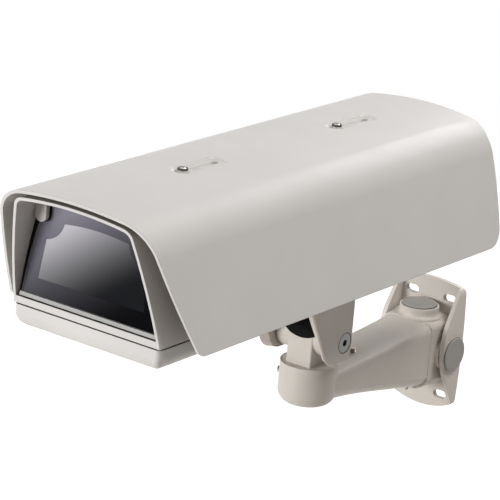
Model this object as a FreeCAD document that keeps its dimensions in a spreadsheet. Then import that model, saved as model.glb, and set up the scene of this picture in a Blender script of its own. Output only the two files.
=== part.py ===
"""Security camera housing with sunshield on a swivel wall bracket.

Millimetres, +Z up. The origin is the centre of the wall plate's back face. The arm reaches out
along -Y, so the window looks along -Y and the wall lies at Y = 0.
"""
import FreeCAD, Part
import math
import os
import re
import Sketcher

SIZES = {
    # wall plate with its two cheeks and the conduit bosses
    "plate_top": 52.0,
    "plate_foot": 47.0,
    "plate_half_width": 30.6,
    "plate_side_bow": 1.5,
    "plate_crown": 3.5,
    "plate_foot_crown": 7.5,
    "plate_corner": 5.5,
    "plate_thick": 4.5,
    "slot_half_spacing": 18.2,
    "slot_rise": 41.5,
    "slot_radius": 3.4,
    "slot_run": 5.4,
    "cheek_thick": 4.0,
    "cheek_depth": 23.4,
    "cheek_bow": 4.8,
    "cheek_tip_depth": 8.0,
    "cheek_foot_depth": 5.6,
    "cheek_shoulder": 26.5,
    "cheek_heel": 16.0,
    "conduit_reach": 20.5,
    "side_conduit_reach": 14.5,
    "conduit_bore": 12.5,
    "conduit_boss_radius": 16.2,
    "conduit_boss_foot": 3.2,
    "conduit_boss_height": 9.2,
    "boss_edge": 0.8,
    "side_entry_wall": 1.5,
    "side_boss_height": 1.2,
    "plug_radius": 14.3,
    "plug_head": 1.6,
    "plug_shank": 8.0,
    # arm and cup
    "pan_reach": 174.0,
    "arm_half_width": 23.2,
    "arm_top_base": 27.0,
    "arm_top_cup": 16.0,
    "arm_flank_base": 21.0,
    "arm_flank_cup": 5.6,
    "arm_floor_base": 31.0,
    "arm_floor_cup": 8.6,
    "arm_floor_throat": 9.9,
    "arm_floor_half": 9.0,
    "arm_belly": 2.6,
    "arm_round": 5.0,
    "arm_crown": 2.4,
    "arm_crown_cup": 1.0,
    "arm_root": 14.5,
    "root_reach": 35.0,
    "root_flare": 3.8,
    "arm_middle": 105.0,
    "arm_top_fall": 6.9,
    "arm_flank_middle": 6.9,
    "arm_floor_middle": 15.2,
    "cup_radius": 22.7,
    "cup_rim": 24.7,
    "cup_height": 33.6,
    "cup_floor": 6.0,
    "cup_round": 10.0,
    "channel_half_base": 15.0,
    "channel_half_cup": 10.0,
    "channel_height_base": 26.0,
    "channel_height_cup": 10.0,
    "cavity_half_width": 21.0,
    "cavity_height": 40.0,
    "cavity_depth": 24.0,
    "earth_screw_place": 121.0,
    "earth_screw_side": 4.3,
    "earth_screw_radius": 2.5,
    "earth_screw_length": 8.0,
    "earth_screw_proud": 2.6,
    # swivel head
    "turn_clearance": 0.08,
    "slide_gap": 0.3,
    "seat_gap": 0.1,
    "spigot_radius": 18.5,
    "spigot_length": 13.0,
    "flange_radius": 21.1,
    "flange_thick": 2.0,
    "flange_gap": 0.4,
    "pan_seal_thick": 1.0,
    "pan_groove_depth": 1.5,
    "pan_groove_width": 5.4,
    "pan_screw_radius": 2.5,
    "pan_screw_length": 7.0,
    "neck_flat": 15.5,
    "neck_half": 11.6,
    "neck_edge": 1.2,
    "barrel_radius": 15.0,
    "neck_bore": 8.0,
    "trough_half_width": 14.5,
    "trough_lip": 4.4,
    "grommet_radius": 15.7,
    "grommet_hole": 2.7,
    "tilt_height": 47.4,
    "tilt_washer_thick": 0.9,
    "tilt_washer_radius": 14.0,
    "tilt_bolt_radius": 4.0,
    "tilt_bolt_head": 8.0,
    "tilt_bolt_head_height": 4.2,
    "tilt_bolt_length": 15.0,
    "tilt_bolt_hex": 5.0,
    "tilt_bolt_hex_depth": 3.0,
    # saddle that carries the housing
    "ear_inner": 24.0,
    "ear_thick": 7.0,
    "ear_rear": 10.0,
    "ear_drop": 16.2,
    "ear_toe": 10.2,
    "ear_bend": 26.4,
    "ear_bend_drop": 6.3,
    "ear_toe_rise": 2.7,
    "ear_rake": 57.0,
    "ear_setback": 5.4,
    "ear_heel": 9.0,
    "ear_edge": 1.2,
    "saddle_plate": 5.0,
    "saddle_window_room": 0.8,
    "saddle_screw_radius": 2.5,
    "saddle_screw_side": 19.5,
    # sunshield
    "wall_gap": 45.5,
    "hood_lift": 66.3,
    "hood_length": 430.0,
    "hood_half_width": 85.0,
    "hood_half_shoulder": 65.4,
    "hood_shoulder": 90.8,
    "hood_crown": 6.6,
    "hood_round": 28.6,
    "hood_wall": 2.5,
    "hood_front_rake": 44.0,
    "hood_front_bow": 2.1,
    "hood_rear_foot": 4.1,
    "hood_rear_set": 5.7,
    "hood_rear_drop": 19.1,
    "hood_rear_bow": 2.9,
    "hood_rear_hollow": 2.2,
    "hood_front_round": 8.0,
    "hood_rear_round": 15.0,
    "shade_screw_front": 121.0,
    "shade_screw_pitch": 188.3,
    "shade_travel": 38.0,
    "shade_slot_radius": 2.3,
    "shade_dish_radius": 7.4,
    "shade_dish_slope": 42.0,
    "shade_dish_depth": 1.6,
    "shade_screw_radius": 2.0,
    "shade_head_radius": 4.0,
    "shade_head_height": 2.2,
    "shade_washer_radius": 5.0,
    "shade_washer_thick": 1.0,
    "shade_pad_radius": 7.0,
    "shade_pad_thick": 0.5,
    # cover
    "seam_rise": 3.4,
    "seam_gap": 1.0,
    "shade_gap": 2.6,
    "cover_half_base": 65.0,
    "cover_half_shoulder": 50.6,
    "cover_crown": 4.2,
    "cover_side_bow": 2.0,
    "cover_round": 9.0,
    "cover_wall": 3.0,
    "rim_thick": 2.2,
    "rear_overhang": 25.0,
    "nose_top": 1.0,
    "nose_rake": 23.3,
    "glass_low": 26.3,
    "glass_lean": 4.7,
    "glass_thick": 4.0,
    "window_seal_thick": 1.2,
    "window_flange": 3.0,
    "window_border": 6.0,
    "sill_height": 5.6,
    "retainer_height": 3.4,
    "retainer_depth": 2.2,
    "lobe_radius": 5.0,
    "lobe_half_spacing": 45.7,
    "lobe_drop": 20.2,
    "lobe_depth": 4.5,
    "lobe_gap": 2.0,
    # base tray
    "tray_drop": 13.0,
    "tray_wall": 3.0,
    "tray_corner": 4.0,
    "tray_round": 10.0,
    "tray_seal_width": 2.2,
    "tray_seal_height": 2.6,
    "tray_seal_inset": 2.0,
    "tray_rim_width": 6.4,
    # side hinge and closing screws
    "hinge_reach": 8.0,
    "hinge_drop": 2.0,
    "knuckle_radius": 4.0,
    "hinge_pin_radius": 1.5,
    "hinge_front": 110.0,
    "hinge_pitch": 190.0,
    "knuckle_length": 12.0,
    "lug_reach": 11.4,
    "lug_width": 14.0,
    "lug_height": 5.6,
    "closing_screw_radius": 2.5,
    "closing_screw_clearance": 0.25,
    "closing_head_radius": 4.0,
    "closing_head_height": 4.0,
    # camera slide, heater and board
    "slide_half_width": 42.0,
    "slide_front": 62.0,
    "slide_length": 250.0,
    "slide_thick": 2.0,
    "slide_travel": 28.0,
    "slide_lift": 6.5,
    "slide_lip": 5.0,
    "slide_slot_radius": 3.3,
    "slide_slot_run": 60.0,
    "rail_width": 6.0,
    "keeper_reach": 4.0,
    "camera_screw_radius": 3.15,
    "camera_screw_head": 7.5,
    "heater_length": 54.0,
    "heater_width": 52.0,
    "heater_height": 3.6,
    "board_length": 46.0,
    "board_width": 84.0,
    "board_thick": 1.6,
    "board_front": 326.0,
    "board_lift": 5.0,
    "board_inset": 5.0,
    "post_radius": 3.0,
    "terminal_width": 30.0,
    "terminal_depth": 10.0,
    "terminal_height": 12.0,
    "gland_ahead": 32.0,
    "gland_side": 11.0,
    "gland_thread": 7.9,
    "gland_hex": 10.5,
    "gland_bore": 3.2,
    "gland_body": 9.0,
    "gland_dome": 8.0,
    "gland_nut_height": 4.0,
}

doc = FreeCAD.newDocument("camera_housing")
sheet = doc.addObject("Spreadsheet::Sheet", "Sizes")
for row, (alias, number) in enumerate(SIZES.items(), start=1):
    sheet.set(f"A{row}", alias)
    sheet.set(f"B{row}", str(number))
    sheet.setAlias(f"B{row}", alias)
doc.recompute()

# places that follow from the sizes
HOOD_Z = "(tilt_height + hood_lift)"
FRONT_Y = "(0 - wall_gap - hood_length)"
TAIL_Y = "(0 - wall_gap - rear_overhang)"
SEAM_Z = "(tilt_height + hood_lift + seam_rise)"
COVER_Z = "(tilt_height + hood_lift + seam_rise + seam_gap)"
TRAY_Z = "(tilt_height + hood_lift - tray_drop)"
FLOOR_Z = "(tilt_height + hood_lift - tray_drop + tray_wall)"
HOOD_TOP = "(tilt_height + hood_lift + hood_shoulder + hood_crown)"
COVER_TOP = "(tilt_height + hood_lift + hood_shoulder + hood_crown - hood_wall - shade_gap)"
NOSE_Y = "(0 - wall_gap - hood_length + nose_top + nose_rake)"
HINGE_X = "(0 - cover_half_base - hinge_reach)"
HINGE_Z = "(tilt_height + hood_lift - hinge_drop)"
EAR_OUTER = "(ear_inner + ear_thick)"


def value(text):
    """Number that an expression in the sheet's names gives."""
    return float(sheet.evalExpression(text))


def scoped(text):
    """The expression with each size's name given in full."""
    return re.sub(r"[a-z_]+", lambda m: f"Sizes.{m.group(0)}" if m.group(0) in SIZES else m.group(0), text)


def bind(thing, prop, text):
    """Tie a property to an expression."""
    thing.setExpression(prop, scoped(text))


def body(label):
    """A new body, named and labelled."""
    made = doc.addObject("PartDesign::Body", label)
    made.Label = label
    return made


PLANES = {"XY": ("XY_Plane", 1), "XZ": ("XZ_Plane", -1), "YZ": ("YZ_Plane", 1)}


def sketch_on(owner, plane, offset="0"):
    """A sketch on one of the body's origin planes, moved along the plane's world axis by offset."""
    role, sign = PLANES[plane]
    made = owner.newObject("Sketcher::SketchObject", f"{owner.Name}_sketch")
    support = [f for f in owner.Origin.OriginFeatures if f.Role == role][0]
    made.AttachmentSupport = [(support, "")]
    made.MapMode = "FlatFace"
    made.AttachmentOffset = FreeCAD.Placement(FreeCAD.Vector(0, 0, sign * value(offset)), FreeCAD.Rotation())
    bind(made, "AttachmentOffset.Base.z", f"{sign} * ({offset})")
    return made


def tie_point(made, geo, pos, x_text, y_text):
    """Hold a point of a sketch at a place given by two expressions."""
    index = made.addConstraint(Sketcher.Constraint("DistanceX", -1, 1, geo, pos, value(x_text)))
    bind(made, f"Constraints[{index}]", x_text)
    index = made.addConstraint(Sketcher.Constraint("DistanceY", -1, 1, geo, pos, value(y_text)))
    bind(made, f"Constraints[{index}]", y_text)


def outline(made, corners, bows=None):
    """A closed outline through corners; bows gives the rise of an edge that is an arc.

    A positive rise bows the edge to the right of its way round.
    """
    bows = bows or {}
    spots = [FreeCAD.Vector(value(a), value(b), 0) for a, b in corners]
    count = len(corners)
    ends = []
    for i in range(count):
        here, there = spots[i], spots[(i + 1) % count]
        if i in bows:
            rise = value(bows[i])
            along = there - here
            side = FreeCAD.Vector(along.y, -along.x, 0).normalize()
            radius = (along.Length ** 2 / 4 + rise ** 2) / (2 * abs(rise))
            forward = rise > 0
            centre = (here + there) * 0.5 + side * (rise - radius if forward else rise + radius)
            first = math.atan2(here.y - centre.y, here.x - centre.x)
            last = math.atan2(there.y - centre.y, there.x - centre.x)
            if not forward:
                first, last = last, first
            if last < first:
                last += 2 * math.pi
            ring = Part.Circle(centre, FreeCAD.Vector(0, 0, 1), radius)
            geo = made.addGeometry(Part.ArcOfCircle(ring, first, last), False)
            ends.append((geo, 1, 2) if forward else (geo, 2, 1))
        else:
            geo = made.addGeometry(Part.LineSegment(here, there), False)
            ends.append((geo, 1, 2))
    for i in range(count):
        geo, _, stop = ends[i]
        nxt, start, _ = ends[(i + 1) % count]
        made.addConstraint(Sketcher.Constraint("Coincident", geo, stop, nxt, start))
        tie_point(made, nxt, start, *corners[(i + 1) % count])
    for i, rise in bows.items():
        (xa, ya), (xb, yb) = corners[i], corners[(i + 1) % count]
        chord = f"((({xb}) - ({xa}))^2 + (({yb}) - ({ya}))^2)"
        radius = f"({chord} / 4 + ({rise})^2) / (2 * abs({rise}))"
        index = made.addConstraint(Sketcher.Constraint("Radius", ends[i][0], value(radius)))
        bind(made, f"Constraints[{index}]", radius)


def circle(made, x_text, y_text, radius):
    """A circle held at a place."""
    spot = FreeCAD.Vector(value(x_text), value(y_text), 0)
    geo = made.addGeometry(Part.Circle(spot, FreeCAD.Vector(0, 0, 1), value(radius)), False)
    tie_point(made, geo, 3, x_text, y_text)
    index = made.addConstraint(Sketcher.Constraint("Radius", geo, value(radius)))
    bind(made, f"Constraints[{index}]", radius)


def slot(made, first, last, across, radius, upright=False):
    """A round-ended slot between two centres; across is their shared other coordinate."""
    lo, hi, mid, r = value(first), value(last), value(across), value(radius)

    def spot(along, over):
        return FreeCAD.Vector(over, along, 0) if upright else FreeCAD.Vector(along, over, 0)

    turn = math.pi / 2
    flip = -1 if upright else 1
    up = FreeCAD.Vector(0, 0, 1)
    side_a = made.addGeometry(Part.LineSegment(spot(lo, mid + r), spot(hi, mid + r)), False)
    side_b = made.addGeometry(Part.LineSegment(spot(lo, mid - r), spot(hi, mid - r)), False)
    start = 0 if upright else -turn
    cap_hi = made.addGeometry(Part.ArcOfCircle(Part.Circle(spot(hi, mid), up, r), start, start + math.pi), False)
    cap_lo = made.addGeometry(
        Part.ArcOfCircle(Part.Circle(spot(lo, mid), up, r), start + math.pi, start + 2 * math.pi), False)
    a_hi, b_hi = (2, 1) if flip > 0 else (1, 2)
    made.addConstraint(Sketcher.Constraint("Tangent", side_a, 2, cap_hi, a_hi))
    made.addConstraint(Sketcher.Constraint("Tangent", side_b, 2, cap_hi, b_hi))
    made.addConstraint(Sketcher.Constraint("Tangent", side_a, 1, cap_lo, b_hi))
    made.addConstraint(Sketcher.Constraint("Tangent", side_b, 1, cap_lo, a_hi))
    made.addConstraint(Sketcher.Constraint("Vertical" if upright else "Horizontal", side_a))
    made.addConstraint(Sketcher.Constraint("Equal", cap_hi, cap_lo))
    index = made.addConstraint(Sketcher.Constraint("Radius", cap_hi, r))
    bind(made, f"Constraints[{index}]", radius)
    along, over = ("DistanceY", "DistanceX") if upright else ("DistanceX", "DistanceY")
    for kind, geo, text in ((along, cap_hi, last), (along, cap_lo, first), (over, cap_hi, across)):
        index = made.addConstraint(Sketcher.Constraint(kind, -1, 1, geo, 3, value(text)))
        bind(made, f"Constraints[{index}]", text)


def box_outline(made, x_low, x_high, y_low, y_high):
    """A rectangle in a sketch."""
    outline(made, [(x_low, y_low), (x_high, y_low), (x_high, y_high), (x_low, y_high)])


def raise_pad(owner, made, length, toward=1, both=False):
    """Pad a sketch along its world axis, toward +1 or -1, or to both sides."""
    pad = owner.newObject("PartDesign::Pad", f"{owner.Name}_pad")
    pad.Profile = made
    plane_sign = -1 if made.AttachmentSupport[0][0].Role == "XZ_Plane" else 1
    pad.Reversed = toward * plane_sign < 0
    if both:
        pad.SideType = "Symmetric"
    pad.Length = value(length)
    bind(pad, "Length", length)
    made.Visibility = False
    return pad


def cut_pocket(owner, made, length, toward=1, both=False):
    """Cut a sketch out of the body along its world axis, and see that it cuts."""
    doc.recompute()
    before = owner.Shape.Volume
    pocket = owner.newObject("PartDesign::Pocket", f"{owner.Name}_cut")
    pocket.Profile = made
    plane_sign = -1 if made.AttachmentSupport[0][0].Role == "XZ_Plane" else 1
    pocket.Reversed = toward * plane_sign > 0
    if both:
        pocket.SideType = "Symmetric"
    pocket.Length = value(length)
    bind(pocket, "Length", length)
    doc.recompute()
    if owner.Shape.Volume >= before - 1e-6:
        raise RuntimeError(f"{pocket.Name} cuts nothing")
    return pocket


def turned(label, axis_x, corners, bows=None):
    """A body turned about the line x = axis_x in its XZ plane; corners are (radius, height)."""
    made = body(label)
    profile = sketch_on(made, "XZ")
    outline(profile, [(f"({axis_x}) + ({r})", z) for r, z in corners], bows)
    spin = made.newObject("PartDesign::Revolution", f"{label}_spin")
    spin.Profile = profile
    spin.ReferenceAxis = (profile, ["V_Axis"])
    spin.Angle = 360
    return made


def rounded(owner, radius, test):
    """Fillet the edges of the body that pass a test on their two ends and middle."""
    doc.recompute()
    tip = owner.Tip
    names = []
    for number, edge in enumerate(tip.Shape.Edges, start=1):
        if edge.Length < 0.5:
            continue
        middle = edge.valueAt((edge.FirstParameter + edge.LastParameter) / 2)
        ends = [v.Point for v in edge.Vertexes]
        if test(ends, middle):
            names.append(f"Edge{number}")
    if not names:
        raise RuntimeError(f"{owner.Name} has no edge to round")
    fillet = owner.newObject("PartDesign::Fillet", f"{owner.Name}_round")
    fillet.Base = (tip, names)
    fillet.Radius = value(radius)
    bind(fillet, "Radius", radius)
    doc.recompute()
    return fillet


def near(a, b, limit=0.02):
    """Whether two numbers agree."""
    return abs(a - b) < limit


def runs_along(ends, axis, limit=0.02):
    """Whether an edge's two ends differ only along one axis (0, 1 or 2)."""
    if len(ends) != 2:
        return False
    step = ends[1] - ends[0]
    return all(abs(step[i]) < limit for i in range(3) if i != axis) and abs(step[axis]) > limit


def place(thing, x_text="0", y_text="0", z_text="0", axis=(0, 0, 1), degrees=0.0):
    """Put an object at a place given by expressions, turned about an axis."""
    turn = FreeCAD.Rotation(FreeCAD.Vector(*axis), degrees)
    thing.Placement = FreeCAD.Placement(FreeCAD.Vector(value(x_text), value(y_text), value(z_text)), turn)
    for letter, text in zip("xyz", (x_text, y_text, z_text)):
        bind(thing, f"Placement.Base.{letter}", text)
    return thing


def cylinder(name, radius, height, x_text="0", y_text="0", z_text="0", axis=(0, 0, 1), degrees=0.0):
    """A bound cylinder."""
    made = doc.addObject("Part::Cylinder", name)
    made.Radius = value(radius)
    made.Height = value(height)
    bind(made, "Radius", radius)
    bind(made, "Height", height)
    return place(made, x_text, y_text, z_text, axis, degrees)


def cut(label, base, *tools):
    """The base without the tools."""
    made = doc.addObject("Part::Cut", label)
    made.Label = label
    made.Base = base
    made.Tool = tools[0] if len(tools) == 1 else joined(f"{label}_tools", *tools)
    return made


def joined(label, *pieces):
    """The pieces as one solid."""
    made = doc.addObject("Part::MultiFuse", label)
    made.Label = label
    made.Shapes = list(pieces)
    made.Refine = True
    return made


def shared(label, first, second):
    """What two solids have in common."""
    made = doc.addObject("Part::MultiCommon", label)
    made.Label = label
    made.Shapes = [first, second]
    return made


def group(label, pieces):
    """Separate solids that share one node."""
    made = doc.addObject("Part::Compound", label)
    made.Label = label
    made.Links = list(pieces)
    return made


# cross-sections of the hood and the cover: an arch with flared sides and a shallow crown
class Arch:
    """Half widths and heights of an arch, which can be drawn inset."""

    def __init__(self, half_base, half_shoulder, base_z, side, crown, corner, side_bow="0"):
        self.half_base = half_base
        self.half_shoulder = half_shoulder
        self.base_z = base_z
        self.side = side
        self.crown = crown
        self.corner = corner
        self.side_bow = side_bow
        self.slope = f"((({half_base}) - ({half_shoulder})) / ({side}))"

    def prism(self, label, inset, bottom, y_front, y_rear):
        """The arch, inset all round, from y_front to y_rear, with its shoulders rounded."""
        made = body(label)
        profile = sketch_on(made, "XZ", y_rear)
        top = f"({self.base_z} + {self.side} - ({inset}))"
        half_top = f"({self.half_shoulder} - ({inset}) + ({inset}) * {self.slope})"
        share = f"((({bottom}) - {self.base_z}) / ({self.side}))"
        bulge = f"4 * ({self.side_bow}) * {share} * (1 - {share})"
        half_low = f"({self.half_base} - ({inset}) - (({bottom}) - {self.base_z}) * {self.slope} + {bulge})"
        bows = {2: self.crown}
        if self.side_bow != "0":
            bows[1] = bows[3] = f"({self.side_bow}) * (1 - {share})^2"
        outline(
            profile,
            [(f"0 - {half_low}", bottom), (half_low, bottom), (half_top, top), (f"0 - {half_top}", top)],
            bows,
        )
        raise_pad(made, profile, f"({y_rear}) - ({y_front})", toward=-1)
        shoulder = value(top)
        rounded(made, f"{self.corner} - ({inset})", lambda ends, mid: runs_along(ends, 1) and near(mid.z, shoulder))
        return made


HOOD = Arch("hood_half_width", "hood_half_shoulder", HOOD_Z, "hood_shoulder", "hood_crown", "hood_round")
COVER = Arch("cover_half_base", "cover_half_shoulder", SEAM_Z, "(hood_shoulder + hood_crown - hood_wall"
             " - shade_gap - cover_crown - seam_rise)", "cover_crown", "cover_round", "cover_side_bow")


def side_slab(label, corners, bows=None, half="120"):
    """A side profile in the YZ plane, padded to both sides."""
    made = body(label)
    profile = sketch_on(made, "YZ")
    outline(profile, corners, bows)
    raise_pad(made, profile, f"2 * ({half})", both=True)
    return made


def leaning(setback_low, setback_high, depth_low="0"):
    """Y places of a leaning plane at the seam and at the cover's top."""
    low = f"({FRONT_Y} + ({setback_low}) + ({depth_low}))"
    high = f"({FRONT_Y} + ({setback_high}) + ({depth_low}))"
    return low, high


# wall arm: plate, cheeks, hub, swept arm and cup, one casting
def make_wall_arm():
    """The one-piece casting that is bolted to the wall."""
    arm = body("arm_blank")

    def plate_outline(made, inset, reach):
        """The wall plate's outline, with its sides moved in and its ends moved out."""
        half = f"(plate_half_width - ({inset}))"
        foot, top = f"(0 - plate_foot - ({reach}))", f"(plate_top + ({reach}))"
        outline(made, [(f"0 - {half}", foot), (half, foot), (half, top), (f"0 - {half}", top)],
                {0: "plate_foot_crown", 1: "plate_side_bow", 2: "plate_crown", 3: "plate_side_bow"})

    cheek_front = "(0 - cheek_depth - cheek_bow)"
    plate = sketch_on(arm, "XZ")
    plate_outline(plate, "0", "0")
    raise_pad(arm, plate, "cheek_depth + cheek_bow + 2", toward=-1)
    rounded(arm, "plate_corner", lambda ends, mid: runs_along(ends, 1))
    between = sketch_on(arm, "XZ", "0 - plate_thick")
    plate_outline(between, "cheek_thick", "20")
    cut_pocket(arm, between, "cheek_depth + cheek_bow + 3", toward=-1)
    trim = sketch_on(arm, "YZ")
    outline(trim, [
        ("0 - cheek_foot_depth", "0 - plate_foot"), ("0 - cheek_depth", "0 - cheek_heel"),
        ("0 - cheek_depth", "cheek_shoulder"), ("0 - cheek_tip_depth", "plate_top"),
        ("0 - cheek_tip_depth", "plate_top + 20"), (f"{cheek_front} - 4", "plate_top + 20"),
        (f"{cheek_front} - 4", "0 - plate_foot - 20"), ("0 - cheek_foot_depth", "0 - plate_foot - 20")],
        {1: "0 - cheek_bow"})
    cut_pocket(arm, trim, "6 * plate_half_width", both=True)

    def section(y_text, top, flank, floor, half, crown):
        """A cross-section of the arm."""
        made = sketch_on(arm, "XZ", y_text)
        outline(made, [
            ("0 - arm_floor_half", f"0 - {floor}"), ("arm_floor_half", f"0 - {floor}"),
            (half, flank), (half, f"{top} - arm_round"), (f"{half} - arm_round", top),
            (f"0 - {half} + arm_round", top), (f"0 - {half}", f"{top} - arm_round"), (f"0 - {half}", flank)],
            {1: "arm_belly", 3: "0.29 * arm_round", 4: crown, 5: "0.29 * arm_round", 7: "arm_belly"})
        return made

    loft = arm.newObject("PartDesign::AdditiveLoft", "arm_loft")
    near_cup = section("0 - pan_reach", "arm_top_cup", "arm_flank_cup", "arm_floor_cup", "(cup_radius - 1)",
                       "arm_crown_cup")
    throat = section("(0 - pan_reach - arm_middle) / 2", "(arm_top_cup + arm_top_base - arm_top_fall) / 2",
                     "(arm_flank_cup - arm_flank_middle) / 2", "arm_floor_throat", "(cup_radius - 0.3)",
                     "arm_crown_cup")
    middle = section("0 - arm_middle", "(arm_top_base - arm_top_fall)", "0 - arm_flank_middle", "arm_floor_middle",
                     "(arm_half_width - 0.6)", "(arm_crown + arm_crown_cup) / 2")
    near_wall = section("0 - arm_root", "arm_top_base", "0 - arm_flank_base", "arm_floor_base",
                        "arm_half_width", "arm_crown")
    loft.Profile = near_cup
    loft.Sections = [throat, middle, near_wall]
    doc.recompute()
    root = arm.newObject("PartDesign::AdditiveLoft", "arm_root")
    flares = [
        section(y_text, "(arm_top_base - 0.1)", "0 - arm_flank_base", "(arm_floor_base - 0.1)",
                f"(arm_half_width - 0.1 + root_flare * {share})", "arm_crown")
        for y_text, share in (("0 - root_reach", "0"), ("(0 - root_reach - arm_root) / 2", "0.25"),
                              ("0 - arm_root", "1"))
    ]
    root.Profile = flares[0]
    root.Sections = flares[1:]
    heel = section("0 - arm_root", "(arm_top_base - 0.1)", "0 - arm_flank_base", "(arm_floor_base - 0.1)",
                   "(arm_half_width - 0.1 + root_flare)", "arm_crown")
    raise_pad(arm, heel, "arm_root - plate_thick / 2", toward=1)
    doc.recompute()
    cup = sketch_on(arm, "XZ", "0 - pan_reach")
    cup_low = "(cup_rim - cup_height)"
    outline(cup, [("0", cup_low), ("cup_radius - cup_round", cup_low), ("cup_radius", f"{cup_low} + cup_round"),
                  ("cup_radius", "cup_rim"), ("0", "cup_rim")], {1: "(1 - cos(45)) * cup_round"})
    turn = arm.newObject("PartDesign::Revolution", "arm_cup")
    turn.Profile = cup
    turn.ReferenceAxis = (cup, ["V_Axis"])
    turn.Angle = 360
    doc.recompute()
    boss = sketch_on(arm, "XZ", "0 - conduit_reach")
    foot = "(arm_top_base + arm_crown - 1)"
    rim = "(arm_top_base + conduit_boss_height)"
    outline(boss, [
        ("0", f"{foot} - 4"), ("conduit_boss_radius + conduit_boss_foot", f"{foot} - 4"),
        ("conduit_boss_radius + conduit_boss_foot", foot), ("conduit_boss_radius", f"{foot} + conduit_boss_foot"),
        ("conduit_boss_radius", f"{rim} - boss_edge"), ("conduit_boss_radius - boss_edge", rim), ("0", rim)],
        {2: "0 - 0.29 * conduit_boss_foot", 4: "0.29 * boss_edge"})
    boss_turn = arm.newObject("PartDesign::Revolution", "arm_boss")
    boss_turn.Profile = boss
    boss_turn.ReferenceAxis = (boss, ["V_Axis"])
    boss_turn.Angle = 360
    doc.recompute()
    for side in (-1, 1):
        cheek_boss = sketch_on(arm, "YZ", f"{side} * (plate_half_width - cheek_thick / 2)")
        circle(cheek_boss, "0 - side_conduit_reach", "0", "plug_radius")
        raise_pad(arm, cheek_boss, "cheek_thick / 2 + plate_side_bow + side_boss_height", toward=side)
        entry = sketch_on(arm, "YZ", f"{side} * (cavity_half_width + 1)")
        circle(entry, "0 - side_conduit_reach", "0", "conduit_bore + side_entry_wall")
        raise_pad(arm, entry, "plate_half_width - cheek_thick - cavity_half_width", toward=side)
    cavity = sketch_on(arm, "XZ")
    box_outline(cavity, "0 - cavity_half_width", "cavity_half_width", "0 - cavity_height / 2", "cavity_height / 2")
    cut_pocket(arm, cavity, "cavity_depth", toward=-1)
    top_bore = sketch_on(arm, "XY", "arm_top_base + conduit_boss_height")
    circle(top_bore, "0", "0 - conduit_reach", "conduit_bore + turn_clearance")
    cut_pocket(arm, top_bore, "arm_top_base + conduit_boss_height - cavity_height / 2 + 1", toward=-1)
    side_bore = sketch_on(arm, "YZ")
    circle(side_bore, "0 - side_conduit_reach", "0", "conduit_bore + turn_clearance")
    cut_pocket(arm, side_bore, "2 * (plate_half_width + plate_side_bow + side_boss_height) + 2", both=True)
    bore = sketch_on(arm, "XY", "cup_rim")
    circle(bore, "0", "0 - pan_reach", "spigot_radius + turn_clearance")
    cut_pocket(arm, bore, "cup_height - cup_floor", toward=-1)
    counterbore = sketch_on(arm, "XY", "cup_rim")
    circle(counterbore, "0", "0 - pan_reach", "flange_radius + flange_gap")
    cut_pocket(arm, counterbore, "flange_thick + pan_seal_thick + seat_gap", toward=-1)
    channel_floor = "(cup_rim - cup_height + cup_floor)"
    inner_cup = sketch_on(arm, "XZ", "0 - pan_reach + spigot_radius - 3")
    box_outline(inner_cup, "0 - channel_half_cup", "channel_half_cup", channel_floor,
                f"{channel_floor} + channel_height_cup")
    inner_wall = sketch_on(arm, "XZ", "0 - cavity_depth + 1")
    box_outline(inner_wall, "0 - channel_half_base", "channel_half_base", "0 - channel_height_base / 2",
                "channel_height_base / 2")
    tunnel = arm.newObject("PartDesign::SubtractiveLoft", "arm_tunnel")
    tunnel.Profile = inner_cup
    tunnel.Sections = [inner_wall]
    tunnel.Ruled = True
    doc.recompute()
    wall_slots = sketch_on(arm, "XZ")
    for side in (-1, 1):
        for level in (-1, 1):
            centre = f"{side} * slot_half_spacing"
            slot(wall_slots, f"{centre} - slot_run / 2", f"{centre} + slot_run / 2", f"{level} * slot_rise",
                 "slot_radius")
    cut_pocket(arm, wall_slots, "plate_thick + 1", toward=-1)
    earth = sketch_on(arm, "XY", "arm_top_base")
    circle(earth, "earth_screw_side", "0 - earth_screw_place", "earth_screw_radius + turn_clearance")
    cut_pocket(arm, earth, "arm_top_base - arm_top_cup + 4", toward=-1)
    screws = []
    for number, degrees in enumerate(PAN_SCREW_ANGLES, start=1):
        screws.append(cylinder(f"pan_screw_hole_{number}", "pan_screw_radius + turn_clearance", "cup_radius + 4",
                               "0", "0 - pan_reach", PAN_SCREW_Z))
        screws[-1].Placement.Rotation = pan_screw_turn(degrees)
    return cut("wall_arm", arm, *screws)


PAN_SCREW_ANGLES = (170.0, 205.0)
PAN_SCREW_Z = "(cup_rim - flange_thick - pan_seal_thick - spigot_length / 2 - 1)"


def pan_screw_turn(degrees):
    """Rotation that lays a Z cylinder outward in the XY plane at an angle from +X."""
    lay = FreeCAD.Rotation(FreeCAD.Vector(0, 1, 0), 90)
    return FreeCAD.Rotation(FreeCAD.Vector(0, 0, 1), degrees).multiply(lay)


def make_conduit_plugs():
    """Blanking plugs of the three conduit entries."""
    corners = [("0", "0"), ("plug_radius - 0.6", "0"), ("plug_radius", "0 - 0.6"), ("plug_radius", "0 - plug_head"),
               ("conduit_bore", "0 - plug_head"), ("conduit_bore", "0 - plug_head - plug_shank"),
               ("0", "0 - plug_head - plug_shank")]
    top = turned("conduit_plug_top", "0", corners)
    place(top, "0", "0 - conduit_reach", "arm_top_base + conduit_boss_height + plug_head")
    right = turned("conduit_plug_right", "0", corners)
    outer = "(plate_half_width + plate_side_bow + side_boss_height + plug_head)"
    place(right, outer, "0 - side_conduit_reach", "0", (0, 1, 0), 90)
    left = turned("conduit_plug_left", "0", corners)
    place(left, f"0 - {outer}", "0 - side_conduit_reach", "0", (0, 1, 0), -90)
    return [top, right, left]


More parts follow.
